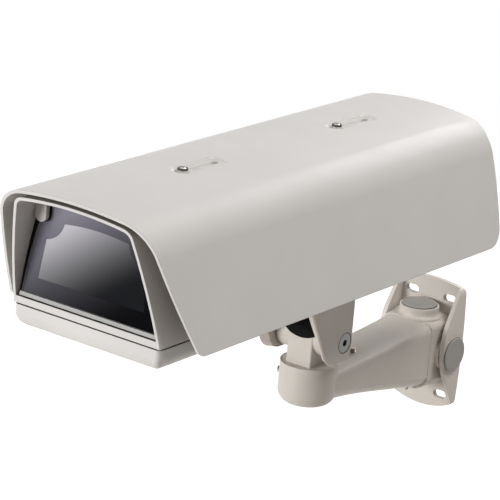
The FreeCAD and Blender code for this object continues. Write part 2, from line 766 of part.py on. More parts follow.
def hex_key(name, across, depth):
    """A hexagonal prism that cuts a key socket, upward from its origin."""
    made = doc.addObject("Part::Prism", name)
    made.Polygon = 6
    made.Circumradius = value(f"({across}) / 2 / cos(30)")
    bind(made, "Circumradius", f"({across}) / 2 / cos(30)")
    made.Height = value(depth)
    bind(made, "Height", depth)
    return made


def make_arm_screws():
    """Earth screw on the arm and the two grub screws that lock the pan."""
    shank = cylinder("earth_shank", "earth_screw_radius", "earth_screw_length")
    key = hex_key("earth_key", "earth_screw_radius", "earth_screw_radius")
    place(key, "0", "0", "earth_screw_length - earth_screw_radius + 0.01")
    earth = cut("earth_screw", shank, key)
    fall = "(arm_top_fall + (arm_top_base - arm_top_fall - arm_top_cup) * (earth_screw_place - arm_middle)"
    surface = f"(arm_top_base - {fall} / (pan_reach - arm_middle)) + (arm_crown + arm_crown_cup) / 2)"
    place(earth, "earth_screw_side", "0 - earth_screw_place",
          f"{surface} + earth_screw_proud - earth_screw_length")
    grubs = []
    for number, degrees in enumerate(PAN_SCREW_ANGLES, start=1):
        grub = cylinder(f"pan_grub_{number}", "pan_screw_radius", "pan_screw_length")
        socket = hex_key(f"pan_grub_key_{number}", "pan_screw_radius", "pan_screw_radius")
        place(socket, "0", "0", "pan_screw_length - pan_screw_radius + 0.01")
        screw = cut(f"pan_grub_screw_{number}", grub, socket)
        start = "(spigot_radius - pan_groove_depth + seat_gap)"
        turn = pan_screw_turn(degrees)
        place(screw, f"{start} * cos({degrees})", f"0 - pan_reach + {start} * sin({degrees})", PAN_SCREW_Z)
        screw.Placement.Rotation = turn
        grubs.append(screw)
    return [earth, group("pan_lock_screws", grubs)]


def make_swivel_head():
    """Head that turns in the cup and carries the tilt barrel."""
    head = body("swivel_head")
    flange_top = "(cup_rim)"
    flange = sketch_on(head, "XY", flange_top)
    circle(flange, "0", "0 - pan_reach", "flange_radius")
    raise_pad(head, flange, "flange_thick", toward=-1)
    spigot = sketch_on(head, "XY", flange_top)
    circle(spigot, "0", "0 - pan_reach", "spigot_radius")
    raise_pad(head, spigot, "flange_thick + pan_seal_thick + seat_gap + spigot_length", toward=-1)
    neck = sketch_on(head, "XY", flange_top)
    box_outline(neck, "0 - neck_half", "neck_half", "0 - pan_reach - neck_flat", "0 - pan_reach + neck_flat")
    raise_pad(head, neck, "tilt_height + trough_lip - cup_rim")
    rounded(head, "neck_edge", lambda ends, mid: runs_along(ends, 2) and near(abs(mid.x), value("neck_half")))
    barrel = sketch_on(head, "YZ")
    circle(barrel, "0 - pan_reach", "tilt_height", "barrel_radius")
    raise_pad(head, barrel, "2 * (ear_inner - tilt_washer_thick - 2 * seat_gap)", both=True)
    trough = sketch_on(head, "XZ", "0 - pan_reach")
    lip = "(tilt_height + trough_lip)"
    outline(trough, [("0 - trough_half_width", lip), ("trough_half_width", lip),
                     ("trough_half_width", "tilt_height + 2 * barrel_radius"),
                     ("0 - trough_half_width", "tilt_height + 2 * barrel_radius")], {0: "trough_lip"})
    cut_pocket(head, trough, "4 * barrel_radius", both=True)
    bore = sketch_on(head, "XY", "0")
    circle(bore, "0", "0 - pan_reach", "neck_bore")
    cut_pocket(head, bore, "tilt_height + 5", toward=1)
    threads = sketch_on(head, "YZ")
    circle(threads, "0 - pan_reach", "tilt_height", "tilt_bolt_radius + turn_clearance / 2")
    cut_pocket(head, threads, "4 * ear_inner", both=True)
    groove = turned("pan_groove_tool", "0", [
        ("spigot_radius - pan_groove_depth", f"{PAN_SCREW_Z} - pan_groove_width / 2"),
        ("spigot_radius + 1", f"{PAN_SCREW_Z} - pan_groove_width / 2"),
        ("spigot_radius + 1", f"{PAN_SCREW_Z} + pan_groove_width / 2"),
        ("spigot_radius - pan_groove_depth", f"{PAN_SCREW_Z} + pan_groove_width / 2")])
    place(groove, "0", "0 - pan_reach", "0")
    head.Label = "swivel_blank"
    grooved = cut("swivel_neck", head, groove)
    seal_top = "(cup_rim - flange_thick - seat_gap / 2)"
    ring = cylinder("pan_seal_disc", "flange_radius", "pan_seal_thick", "0", "0 - pan_reach",
                    f"{seal_top} - pan_seal_thick")
    hole = cylinder("pan_seal_hole", "spigot_radius + seat_gap", "3 * pan_seal_thick", "0", "0 - pan_reach",
                    f"{seal_top} - 2 * pan_seal_thick")
    return [grooved, cut("pan_seal_ring", ring, hole)]


def make_cable_grommet():
    """Black rubber bush that fills the cable opening of the swivel head."""
    plug = body("grommet_plug")
    shape = sketch_on(plug, "XZ", "0 - pan_reach")
    half = "(trough_half_width - seat_gap)"
    lip = "(tilt_height + trough_lip + seat_gap)"
    outline(shape, [(f"0 - {half}", lip), (half, lip), (half, "tilt_height + 2 * barrel_radius"),
                    (f"0 - {half}", "tilt_height + 2 * barrel_radius")], {0: "trough_lip"})
    raise_pad(plug, shape, "4 * barrel_radius", both=True)
    roller = cylinder("grommet_roller", "grommet_radius", "4 * ear_inner", "0 - 2 * ear_inner", "0 - pan_reach",
                      "tilt_height", (0, 1, 0), 90)
    dome = shared("grommet_dome", plug, roller)
    tail = cylinder("grommet_tail", "neck_bore - seat_gap", "neck_bore", "0", "0 - pan_reach",
                    "tilt_height - neck_bore / 2")
    holes = [cylinder(f"grommet_hole_{n}", "grommet_hole", "6 * barrel_radius", f"{s} * (neck_bore / 2)",
                      "0 - pan_reach", "tilt_height - 3 * barrel_radius") for n, s in ((1, -1), (2, 1))]
    return [cut("cable_grommet", joined("grommet_body", dome, tail), *holes)]


def make_tilt_hardware():
    """Countersunk pivot bolts and the friction washers beside the barrel."""
    washers = []
    for name, side in (("left", -1), ("right", 1)):
        start = "ear_inner - tilt_washer_thick - seat_gap" if side > 0 else "0 - ear_inner + seat_gap"
        disc = cylinder(f"tilt_washer_disc_{name}", "tilt_washer_radius", "tilt_washer_thick", start,
                        "0 - pan_reach", "tilt_height", (0, 1, 0), 90)
        hole = cylinder(f"tilt_washer_hole_{name}", "tilt_bolt_radius + turn_clearance", "2 * tilt_washer_thick",
                        f"{start} - tilt_washer_thick / 2", "0 - pan_reach", "tilt_height", (0, 1, 0), 90)
        washers.append(cut(f"tilt_washer_{name}", disc, hole))
    bolts = []
    for name, side in (("left", -1), ("right", 1)):
        shank = turned(f"tilt_bolt_turned_{name}", "0", [
            ("0", "0"), ("tilt_bolt_head", "0"), ("tilt_bolt_radius", "0 - tilt_bolt_head_height"),
            ("tilt_bolt_radius", "0 - tilt_bolt_length"), ("0", "0 - tilt_bolt_length")])
        key = hex_key(f"tilt_bolt_key_{name}", "tilt_bolt_hex", "2 * tilt_bolt_hex_depth")
        place(key, "0", "0", "0 - tilt_bolt_hex_depth")
        bolt = cut(f"tilt_bolt_{name}", shank, key)
        place(bolt, f"{side} * ({EAR_OUTER} - seat_gap)", "0 - pan_reach", "tilt_height", (0, 1, 0), 90 * side)
        bolts.append(bolt)
    return [group("tilt_friction_washers", washers)] + bolts


def make_saddle():
    """Casting under the tray: a bolted plate with the two tilt ears."""
    saddle = body("saddle_blank")
    top = TRAY_Z
    toe_z = "(tilt_height - ear_drop)"

    def ear_outline(made, setback, inset):
        """The ear's side outline, drawn inset, with its front edge set back at the bend."""
        outline(made, [
            (f"0 - pan_reach + ear_rear - ({inset})", top), (f"0 - pan_reach - ear_rake + ({inset})", top),
            (f"0 - pan_reach - ear_bend + ({setback}) + ({inset})", "tilt_height - ear_bend_drop"),
            (f"0 - pan_reach - ear_toe + ({setback} + {inset}) / 2", f"{toe_z} + ({inset})"),
            ("0 - pan_reach + ear_rear - ear_heel", f"{toe_z} + ({inset})"),
            (f"0 - pan_reach + ear_rear - ({inset})", f"{toe_z} + ear_heel")],
            {2: "ear_toe_rise", 4: "0.29 * ear_heel"})

    for side in (-1, 1):
        ear = saddle.newObject("PartDesign::AdditiveLoft", f"saddle_ear_{side + 1}")
        faces = []
        for x_text, setback, inset in ((EAR_OUTER, "0", "ear_edge"), (f"({EAR_OUTER} - ear_edge)", "0", "0"),
                                       ("ear_inner", "ear_setback", "0")):
            faces.append(sketch_on(saddle, "YZ", f"{side} * {x_text}"))
            ear_outline(faces[-1], setback, inset)
        ear.Profile = faces[0]
        ear.Sections = faces[1:]
        ear.Ruled = True
        if side < 0:
            plate = sketch_on(saddle, "XY", top)
            box_outline(plate, f"0 - {EAR_OUTER} + ear_edge", f"{EAR_OUTER} - ear_edge", "0 - pan_reach - ear_rake",
                        "0 - pan_reach + ear_rear")
            raise_pad(saddle, plate, "saddle_plate", toward=-1)
    window = sketch_on(saddle, "XY", top)
    room = "(gland_hex + saddle_window_room)"
    box_outline(window, f"0 - gland_side - {room}", f"gland_side + {room}", f"{GLAND_Y} - {room}",
                f"{GLAND_Y} + {room}")
    cut_pocket(saddle, window, "saddle_plate + 1", toward=-1)
    pivots = sketch_on(saddle, "YZ")
    circle(pivots, "0 - pan_reach", "tilt_height", "tilt_bolt_radius + turn_clearance")
    cut_pocket(saddle, pivots, f"3 * {EAR_OUTER}", both=True)
    holes = sketch_on(saddle, "XY", top)
    for x_text, y_text in SADDLE_SCREWS:
        circle(holes, x_text, y_text, "saddle_screw_radius + turn_clearance")
    cut_pocket(saddle, holes, "saddle_plate + 1", toward=-1)
    sinks = []
    for name, side in (("left", -1), ("right", 1)):
        sink = turned(f"ear_sink_{name}", "0", [
            ("0", "1"), ("tilt_bolt_head + seat_gap", "1"), ("tilt_bolt_head + seat_gap", "0 - seat_gap"),
            ("tilt_bolt_radius", "0 - seat_gap - tilt_bolt_head_height - seat_gap"),
            ("0", "0 - seat_gap - tilt_bolt_head_height - seat_gap")])
        place(sink, f"{side} * {EAR_OUTER}", "0 - pan_reach", "tilt_height", (0, 1, 0), 90 * side)
        sinks.append(sink)
    screws = []
    for number, (x_text, y_text) in enumerate(SADDLE_SCREWS, start=1):
        screw = turned(f"saddle_screw_turned_{number}", "0", [
            ("0", "0"), ("1.7 * saddle_screw_radius", "0"), ("1.7 * saddle_screw_radius", "saddle_screw_radius * 2"),
            ("0", "saddle_screw_radius * 2")])
        shank = cylinder(f"saddle_shank_{number}", "saddle_screw_radius",
                         "saddle_plate + saddle_screw_radius * 2 + tray_wall")
        key = hex_key(f"saddle_key_{number}", "1.6 * saddle_screw_radius", "saddle_screw_radius")
        place(key, "0", "0", "0 - 0.01")
        whole = cut(f"saddle_screw_{number}", joined(f"saddle_screw_body_{number}", screw, shank), key)
        place(whole, x_text, y_text, f"{top} - saddle_plate - saddle_screw_radius * 2")
        screws.append(whole)
    return [cut("tilt_saddle", saddle, *sinks), group("saddle_screws", screws)]


SADDLE_SCREWS = [
    (f"{side} * saddle_screw_side", y_text)
    for side in (-1, 1)
    for y_text in ("0 - pan_reach - ear_rake + 8", "0 - pan_reach + ear_rear - 6")
]


def hinge_places():
    """Y centre of each side hinge."""
    return [f"({FRONT_Y} + hinge_front + {n} * hinge_pitch)" for n in (0, 1)]


def make_base_tray():
    """Lower shell with its hinge lugs, closing lugs, slide rails and gland holes."""
    tray = body("tray_blank")
    floor = sketch_on(tray, "XY", TRAY_Z)
    box_outline(floor, "0 - cover_half_base", "cover_half_base", NOSE_Y, TAIL_Y)
    raise_pad(tray, floor, "tray_drop + seam_rise")
    rounded(tray, "tray_corner", lambda ends, mid: runs_along(ends, 2))
    low = value(TRAY_Z)
    rounded(tray, "tray_round", lambda ends, mid: near(mid.z, low) and near(ends[0].z, low)
            and near(ends[-1].z, low))
    for y_text in hinge_places():
        closing_lug(tray, y_text, f"{SEAM_Z} - lug_height")
    hollow = sketch_on(tray, "XY", SEAM_Z)
    box_outline(hollow, "0 - cover_half_base + tray_rim_width", "cover_half_base - tray_rim_width",
                f"{NOSE_Y} + tray_rim_width", f"{TAIL_Y} - tray_rim_width")
    cut_pocket(tray, hollow, "tray_drop + seam_rise - tray_wall", toward=-1)
    groove = sketch_on(tray, "XY", SEAM_Z)
    for inset in ("tray_seal_inset", "(tray_seal_inset + tray_seal_width)"):
        box_outline(groove, f"0 - cover_half_base + {inset}", f"cover_half_base - {inset}",
                    f"{NOSE_Y} + {inset}", f"{TAIL_Y} - {inset}")
    cut_pocket(tray, groove, "tray_seal_height - seam_gap + slide_gap", toward=-1)
    for side in (-1, 1):
        rail = sketch_on(tray, "XY", FLOOR_Z)
        inner, outer = "(slide_half_width - rail_width)", "(slide_half_width + keeper_reach)"
        edges = (inner, outer) if side > 0 else (f"0 - {outer}", f"0 - {inner}")
        box_outline(rail, *edges, RAIL_FRONT, RAIL_REAR)
        raise_pad(tray, rail, "slide_lift")
        guide = sketch_on(tray, "XY", f"{FLOOR_Z} + slide_lift")
        inner = "(slide_half_width + slide_gap)"
        edges = (inner, outer) if side > 0 else (f"0 - {outer}", f"0 - {inner}")
        box_outline(guide, *edges, RAIL_FRONT, RAIL_REAR)
        raise_pad(tray, guide, "slide_thick + slide_gap")
    for x_text, y_text in BOARD_POSTS:
        post = sketch_on(tray, "XY", FLOOR_Z)
        circle(post, x_text, y_text, "post_radius")
        raise_pad(tray, post, "board_lift")
    holes = sketch_on(tray, "XY", FLOOR_Z)
    for x_text, y_text in SADDLE_SCREWS:
        circle(holes, x_text, y_text, "saddle_screw_radius + turn_clearance")
    for x_text in GLANDS:
        circle(holes, x_text, GLAND_Y, "gland_thread + turn_clearance")
    cut_pocket(tray, holes, "tray_wall + 1", toward=-1)
    lugs = []
    for number, y_text in enumerate(hinge_places(), start=1):
        lugs.append(knuckle(f"tray_knuckle_{number}", y_text, "0", "knuckle_length", tray_side=True))
    shell = joined("tray_shell", tray, *lugs)
    pins = [hinge_bore(f"tray_pin_bore_{n}", y_text) for n, y_text in enumerate(hinge_places(), start=1)]
    threads = [closing_bore(f"tray_thread_{n}", y_text, "closing_screw_clearance")
               for n, y_text in enumerate(hinge_places(), start=1)]
    return [cut("base_tray", shell, *pins, *threads)]


RAIL_FRONT = f"({FRONT_Y} + slide_front - slide_travel)"
RAIL_REAR = f"({FRONT_Y} + slide_front + slide_length)"
GLAND_Y = "(0 - pan_reach - gland_ahead)"
GLANDS = ["(0 - gland_side)", "gland_side"]
BOARD_POSTS = [
    (f"{side} * (board_width / 2 - board_inset)", f"{FRONT_Y} + board_front + {end}")
    for side in (-1, 1)
    for end in ("board_inset", "board_length - board_inset")
]


def knuckle(name, y_text, shift, length, tray_side):
    """A hinge knuckle with the web that joins it to the tray's or the cover's side wall."""
    made = body(name)
    start = f"({y_text} + ({shift}) + ({length}) / 2)"
    profile = sketch_on(made, "XZ", start)
    circle(profile, HINGE_X, HINGE_Z, "knuckle_radius")
    raise_pad(made, profile, length, toward=-1)
    web = sketch_on(made, "XZ", start)
    wall = "(0 - cover_half_base + 0.8)"
    if tray_side:
        outline(web, [(HINGE_X, f"{HINGE_Z} - knuckle_radius"), (wall, f"{HINGE_Z} - knuckle_radius"),
                      (wall, f"{SEAM_Z} - 1"), (HINGE_X, f"{HINGE_Z} + 1")])
    else:
        outline(web, [(f"{HINGE_X} - knuckle_radius", HINGE_Z), (f"{HINGE_X} + 2", f"{HINGE_Z} + knuckle_radius - 1"),
                      (f"{HINGE_X} + 4", f"{COVER_Z} + slide_gap"), ("0 - cover_half_base + 1.2", f"{COVER_Z} + slide_gap"),
                      ("0 - cover_half_base + 3", f"{COVER_Z} + 10"), (f"{HINGE_X} - knuckle_radius", f"{COVER_Z} + 3")])
    raise_pad(made, web, length, toward=-1)
    return made


def hinge_bore(name, y_text):
    """Bore along a hinge's axis."""
    return cylinder(name, "hinge_pin_radius + turn_clearance / 2", "6 * knuckle_length", HINGE_X,
                    f"{y_text} + 3 * knuckle_length", HINGE_Z, (1, 0, 0), 90)


def closing_lug(owner, y_text, z_text):
    """Add a lug for a closing screw on the side away from the hinges."""
    plan = sketch_on(owner, "XY", z_text)
    slot(plan, "(cover_half_base - lug_width / 2 + 1)", CLOSING_X, y_text, "lug_width / 2")
    raise_pad(owner, plan, "lug_height")
    return owner


def closing_bore(name, y_text, clearance):
    """Bore for a closing screw."""
    return cylinder(name, f"closing_screw_radius + {clearance}", "40", CLOSING_X, y_text, f"{SEAM_Z} - 20")


CLOSING_X = "(cover_half_base + lug_reach - lug_width / 2)"


def make_tray_seal():
    """Rubber cord that lies in the tray's rim groove."""
    seal = body("tray_seal")
    ring = sketch_on(seal, "XY", f"{SEAM_Z} - tray_seal_height + seam_gap - seat_gap")
    for inset in ("(tray_seal_inset + seat_gap)", "(tray_seal_inset + tray_seal_width - seat_gap)"):
        box_outline(ring, f"0 - cover_half_base + {inset}", f"cover_half_base - {inset}",
                    f"{NOSE_Y} + {inset}", f"{TAIL_Y} - {inset}")
    raise_pad(seal, ring, "tray_seal_height - seat_gap - slide_gap / 2")
    return [seal]


def make_inner_kit():
    """Camera slide, heater, terminal board and cable glands."""
    slide = body("camera_slide")
    plate_z = f"({FLOOR_Z} + slide_lift + seat_gap)"
    plate = sketch_on(slide, "XY", plate_z)
    front, rear = f"({FRONT_Y} + slide_front)", f"({FRONT_Y} + slide_front + slide_length)"
    box_outline(plate, "0 - slide_half_width", "slide_half_width", front, rear)
    raise_pad(slide, plate, "slide_thick")
    lip = sketch_on(slide, "XY", plate_z)
    box_outline(lip, "0 - slide_half_width", "slide_half_width", f"{rear} - slide_thick", rear)
    raise_pad(slide, lip, "slide_lip + slide_thick")
    slots = sketch_on(slide, "XY", plate_z)
    for start in ("slide_slot_run / 2", "2.2 * slide_slot_run"):
        slot(slots, f"{front} + {start}", f"{front} + {start} + slide_slot_run", "0", "slide_slot_radius", upright=True)
    cut_pocket(slide, slots, "slide_thick + 1", toward=1)
    screws = []
    for number, start in enumerate(("slide_slot_run", "2.7 * slide_slot_run"), start=1):
        screw = turned(f"camera_screw_{number}", "0", [
            ("0", "0 - seat_gap"), ("camera_screw_head", "0 - seat_gap"), ("camera_screw_head", "0 - seat_gap - 3"),
            ("0", "0 - seat_gap - 3")])
        shank = cylinder(f"camera_shank_{number}", "camera_screw_radius", "slide_thick + 7", z_text="0 - 1")
        whole = joined(f"camera_screw_whole_{number}", screw, shank)
        place(whole, "0", f"{front} + {start}", plate_z)
        screws.append(whole)
    heater = body("heater_plate")
    pad = sketch_on(heater, "XY", f"{FLOOR_Z} + seat_gap")
    heater_front = f"({NOSE_Y} + tray_rim_width + 6)"
    box_outline(pad, "0 - heater_width / 2", "heater_width / 2", heater_front, f"{heater_front} + heater_length")
    raise_pad(heater, pad, "heater_height / 2")
    for n in range(6):
        fin = sketch_on(heater, "XY", f"{FLOOR_Z} + seat_gap")
        fin_front = f"({heater_front} + heater_length * {n} / 6 + 3)"
        box_outline(fin, "0 - heater_width / 2 + 2", "heater_width / 2 - 2", fin_front, f"{fin_front} + 3")
        raise_pad(heater, fin, "heater_height")
    board = body("terminal_board")
    plan = sketch_on(board, "XY", f"{FLOOR_Z} + board_lift + seat_gap")
    board_front = f"({FRONT_Y} + board_front)"
    box_outline(plan, "0 - board_width / 2", "board_width / 2", board_front, f"{board_front} + board_length")
    raise_pad(board, plan, "board_thick")
    board_holes = sketch_on(board, "XY", f"{FLOOR_Z} + board_lift + seat_gap")
    for x_text, y_text in BOARD_POSTS:
        circle(board_holes, x_text, y_text, "post_radius / 2")
    cut_pocket(board, board_holes, "board_thick + 1", toward=1)
    blocks = []
    for number, side in enumerate((-1, 1), start=1):
        terminal = body(f"terminal_block_{number}")
        base_z = f"({FLOOR_Z} + board_lift + 2 * seat_gap + board_thick)"
        centre = f"{side} * (terminal_width / 2 + 4)"
        foot = sketch_on(terminal, "XY", base_z)
        box_outline(foot, f"{centre} - terminal_width / 2", f"{centre} + terminal_width / 2",
                    f"{board_front} + board_length - 14 - terminal_depth", f"{board_front} + board_length - 14")
        raise_pad(terminal, foot, "terminal_height")
        entries = sketch_on(terminal, "XZ", f"{board_front} + board_length - 14")
        for n in range(5):
            circle(entries, f"{centre} - terminal_width / 2 + terminal_width * ({n} + 0.5) / 5",
                   f"{base_z} + terminal_height / 3", "terminal_width / 14")
        cut_pocket(terminal, entries, "terminal_depth / 2", toward=-1)
        blocks.append(terminal)
    glands = []
    nuts = []
    for number, x_text in enumerate(GLANDS, start=1):
        thread_top = "gland_nut_height + tray_wall + 2"
        shell = turned(f"gland_shell_{number}", "0", [
            ("gland_bore", thread_top), ("gland_thread", thread_top), ("gland_thread", "0 - seat_gap"),
            ("gland_hex", "0 - seat_gap"), ("gland_hex", "0 - gland_body"),
            ("gland_hex - 1", "0 - gland_body - gland_dome / 2"), ("gland_bore + 1.5", "0 - gland_body - gland_dome"),
            ("gland_bore", "0 - gland_body - gland_dome")])
        place(shell, x_text, GLAND_Y, TRAY_Z)
        glands.append(shell)
        ring = hex_key(f"gland_nut_prism_{number}", "2 * gland_hex", "gland_nut_height")
        bore = cylinder(f"gland_nut_bore_{number}", "gland_thread + turn_clearance / 2", "3 * gland_nut_height",
                        "0", "0", "0 - gland_nut_height")
        nut = cut(f"gland_nut_{number}", ring, bore)
        place(nut, x_text, GLAND_Y, f"{FLOOR_Z} + seat_gap", degrees=30)
        nuts.append(nut)
    return [slide, group("camera_screws", screws), heater, board, group("terminal_blocks", blocks),
            group("cable_glands", glands), group("gland_nuts", nuts)]


def make_cover():
    """Upper shell with the window recess, flange, hinge knuckles, closing lugs and shade bosses."""
    low_nose, high_nose = leaning("nose_top + nose_rake", "nose_top")
    low_glass, high_glass = leaning("glass_low", "glass_low + glass_lean")
    blank = COVER.prism("cover_blank", "0", COVER_Z, FRONT_Y, TAIL_Y)
    front = side_slab("cover_front", [
        (low_nose, COVER_Z), (f"{TAIL_Y} + 1", COVER_Z), (f"{TAIL_Y} + 1", f"{COVER_TOP} + 1"), (high_nose, COVER_TOP),
        ], None)
    outer = shared("cover_outer", blank, front)
    sill = f"({COVER_Z} + sill_height)"
    recess_prism = COVER.prism("recess_prism", "rim_thick", sill, f"{FRONT_Y} - 5", f"{FRONT_Y} + 60")
    recess_side = side_slab("recess_side", [
        (f"{FRONT_Y} - 4", f"{COVER_Z} - 1"), (f"{low_glass} + glass_thick + window_seal_thick", f"{COVER_Z} - 1"),
        (f"{high_glass} + glass_thick + window_seal_thick", COVER_TOP), (f"{FRONT_Y} - 4", COVER_TOP)])
    recess = shared("recess_tool", recess_prism, recess_side)
    flange_low = f"({low_glass} + glass_thick + window_seal_thick + window_flange)"
    flange_high = f"({high_glass} + glass_thick + window_seal_thick + window_flange)"
    cavity_prism = COVER.prism("cavity_prism", "cover_wall", f"{COVER_Z} - 5", FRONT_Y, f"{TAIL_Y} - cover_wall")
    cavity_side = side_slab("cavity_side", [
        (flange_low, f"{COVER_Z} - 1"), (TAIL_Y, f"{COVER_Z} - 1"), (TAIL_Y, COVER_TOP), (flange_high, COVER_TOP)])
    cavity = shared("cavity_tool", cavity_prism, cavity_side)
    aperture = COVER.prism("aperture_tool", "rim_thick + window_border", f"{sill} + window_border",
                           FRONT_Y, f"{FRONT_Y} + 60")
    lobes = []
    for number, side in enumerate((-1, 1), start=1):
        stem = body(f"lobe_{number}")
        plan = sketch_on(stem, "XZ", f"{high_glass} - lobe_gap")
        slot(plan, f"{COVER_TOP} - lobe_drop", f"{COVER_TOP} - lobe_radius - cover_crown - 1",
             f"{side} * lobe_half_spacing", "lobe_radius", upright=True)
        raise_pad(stem, plan, "lobe_depth", toward=-1)
        lobes.append(shared(f"lobe_clip_{number}", stem, outer))
    pads = []
    bores = []
    for number, y_text in enumerate(SHADE_SCREWS, start=1):
        pads.append(cylinder(f"shade_boss_{number}", "shade_pad_radius", "cover_wall + 7",
                             "0", y_text, f"{COVER_TOP} + 0.2 - cover_wall - 7"))
        bores.append(cylinder(f"shade_thread_{number}", "shade_screw_radius + turn_clearance / 2", "cover_wall + 6",
                              "0", y_text, f"{COVER_TOP} + 1.2 - cover_wall - 6"))
    lugs = []
    for number, y_text in enumerate(hinge_places(), start=1):
        for end, way in (("a", -1), ("b", 1)):
            lugs.append(knuckle(f"cover_knuckle_{number}{end}", y_text,
                                f"{way} * (knuckle_length * 0.75 + slide_gap)", "knuckle_length / 2",
                                tray_side=False))
        lugs.append(closing_lug(body(f"cover_lug_{number}"), y_text, COVER_Z))
    hollowed = cut("cover_hollow", outer, recess, cavity, aperture)
    shell = joined("cover_shell", hollowed, *lobes, *pads, *lugs)
    trimmed = cut("cover_trim", shell, COVER.prism("cover_lug_trim", "cover_wall", f"{COVER_Z} - 5",
                                                   f"{FRONT_Y} + 80", f"{TAIL_Y} - 40"))
    whole = joined("cover_with_bosses", trimmed, *pads)
    pins = [hinge_bore(f"cover_pin_bore_{n}", y_text) for n, y_text in enumerate(hinge_places(), start=1)]
    ways = [closing_bore(f"cover_way_{n}", y_text, "turn_clearance")
            for n, y_text in enumerate(hinge_places(), start=1)]
    return [cut("upper_cover", whole, *pins, *ways, *bores)]


SHADE_SCREWS = [f"({FRONT_Y} + shade_screw_front + {n} * shade_screw_pitch)" for n in (0, 1)]


def make_window():
    """Glass, its seal and the metal strip at its foot."""
    low, high = leaning("glass_low", "glass_low + glass_lean")
    sill = f"({COVER_Z} + sill_height + seat_gap)"

    def slice_of(name, inset, bottom, ahead, behind):
        prism = COVER.prism(f"{name}_prism", inset, bottom, FRONT_Y, f"{FRONT_Y} + 60")
        slab = side_slab(f"{name}_side", [
            (f"{low} + ({ahead})", f"{COVER_Z} - 1"), (f"{low} + ({behind})", f"{COVER_Z} - 1"),
            (f"{high} + ({behind})", COVER_TOP), (f"{high} + ({ahead})", COVER_TOP)])
        return shared(name, prism, slab)

    glass = slice_of("window_glass", "rim_thick + seat_gap", sill, "0", "glass_thick")
    pad_outer = slice_of("seal_outer", "rim_thick + seat_gap", sill, "glass_thick + seat_gap / 2",
                         "glass_thick + window_seal_thick - seat_gap / 2")
    pad_inner = slice_of("seal_inner", "rim_thick + window_border - 1", f"{sill} + window_border - 1",
                         "glass_thick - 1", "glass_thick + window_seal_thick + 1")
    seal = cut("window_seal", pad_outer, pad_inner)
    strip = body("window_retainer")
    ledge = sketch_on(strip, "YZ")
    back = f"({low} - seat_gap)"
    outline(ledge, [(f"{back} - retainer_depth", sill), (back, sill), (f"{back} + 0.3", f"{sill} + retainer_height"),
                    (f"{back} - retainer_depth + 0.6", f"{sill} + retainer_height")])
    raise_pad(strip, ledge, "2 * (cover_half_base - rim_thick - 2.5)", both=True)
    return [glass, seal, strip]


def make_hood():
    """Sunshield: one bent sheet with two dished pockets and their slots."""
    outer = HOOD.prism("hood_outer", "0", HOOD_Z, f"{FRONT_Y} - 1", "0 - wall_gap + 20")
    inner = HOOD.prism("hood_inner", "hood_wall", f"{HOOD_Z} - 1", f"{FRONT_Y} - 2", "0 - wall_gap + 21")
    foot_front, foot_rear = f"({FRONT_Y} + hood_front_rake)", "(0 - wall_gap - hood_rear_foot)"
    side = side_slab("hood_side", [
        (foot_front, HOOD_Z), (foot_rear, HOOD_Z), ("0 - wall_gap - hood_rear_set", f"{HOOD_TOP} - hood_rear_drop"),
        ("0 - wall_gap", HOOD_TOP), ("0 - wall_gap", f"{HOOD_TOP} + 5"), (FRONT_Y, f"{HOOD_TOP} + 5"),
        (FRONT_Y, HOOD_TOP)], {1: "hood_rear_bow", 2: "0 - hood_rear_hollow", 6: "hood_front_bow"})
    low = value(HOOD_Z)
    middle = value(f"{FRONT_Y} / 2")
    rounded(side, "hood_front_round", lambda ends, mid: runs_along(ends, 0) and near(mid.z, low) and mid.y < middle)
    rounded(side, "hood_rear_round", lambda ends, mid: runs_along(ends, 0) and near(mid.z, low) and mid.y > middle)
    dishes = []
    floors = []
    slots = []
    for number, y_text in enumerate(SHADE_SCREWS, start=1):
        for pile, name, radius, depth, height in (
            (floors, "floor", "shade_dish_radius + hood_wall / 2", "shade_dish_depth + hood_wall", "hood_wall + 0.4"),
            (dishes, "dish", "shade_dish_radius", "shade_dish_depth", "shade_dish_depth + 1"),
            (slots, "slot", "shade_slot_radius", "3 * hood_wall", "6 * hood_wall"),
        ):
            tool = body(f"hood_{name}_{number}")
            plan = sketch_on(tool, "XY", f"{HOOD_TOP} - ({depth})")
            slot(plan, y_text, f"{y_text} + shade_travel", "0", radius, upright=True)
            press = raise_pad(tool, plan, height)
            if name != "slot":
                press.TaperAngle = value("shade_dish_slope")
                bind(press, "TaperAngle", "shade_dish_slope")
            pile.append(tool)
    shell = cut("hood_shell", shared("hood_arch", outer, side), inner)
    pressed = joined("hood_pressed", shell, *floors)
    return [cut("sunshield", pressed, *dishes, *slots)]


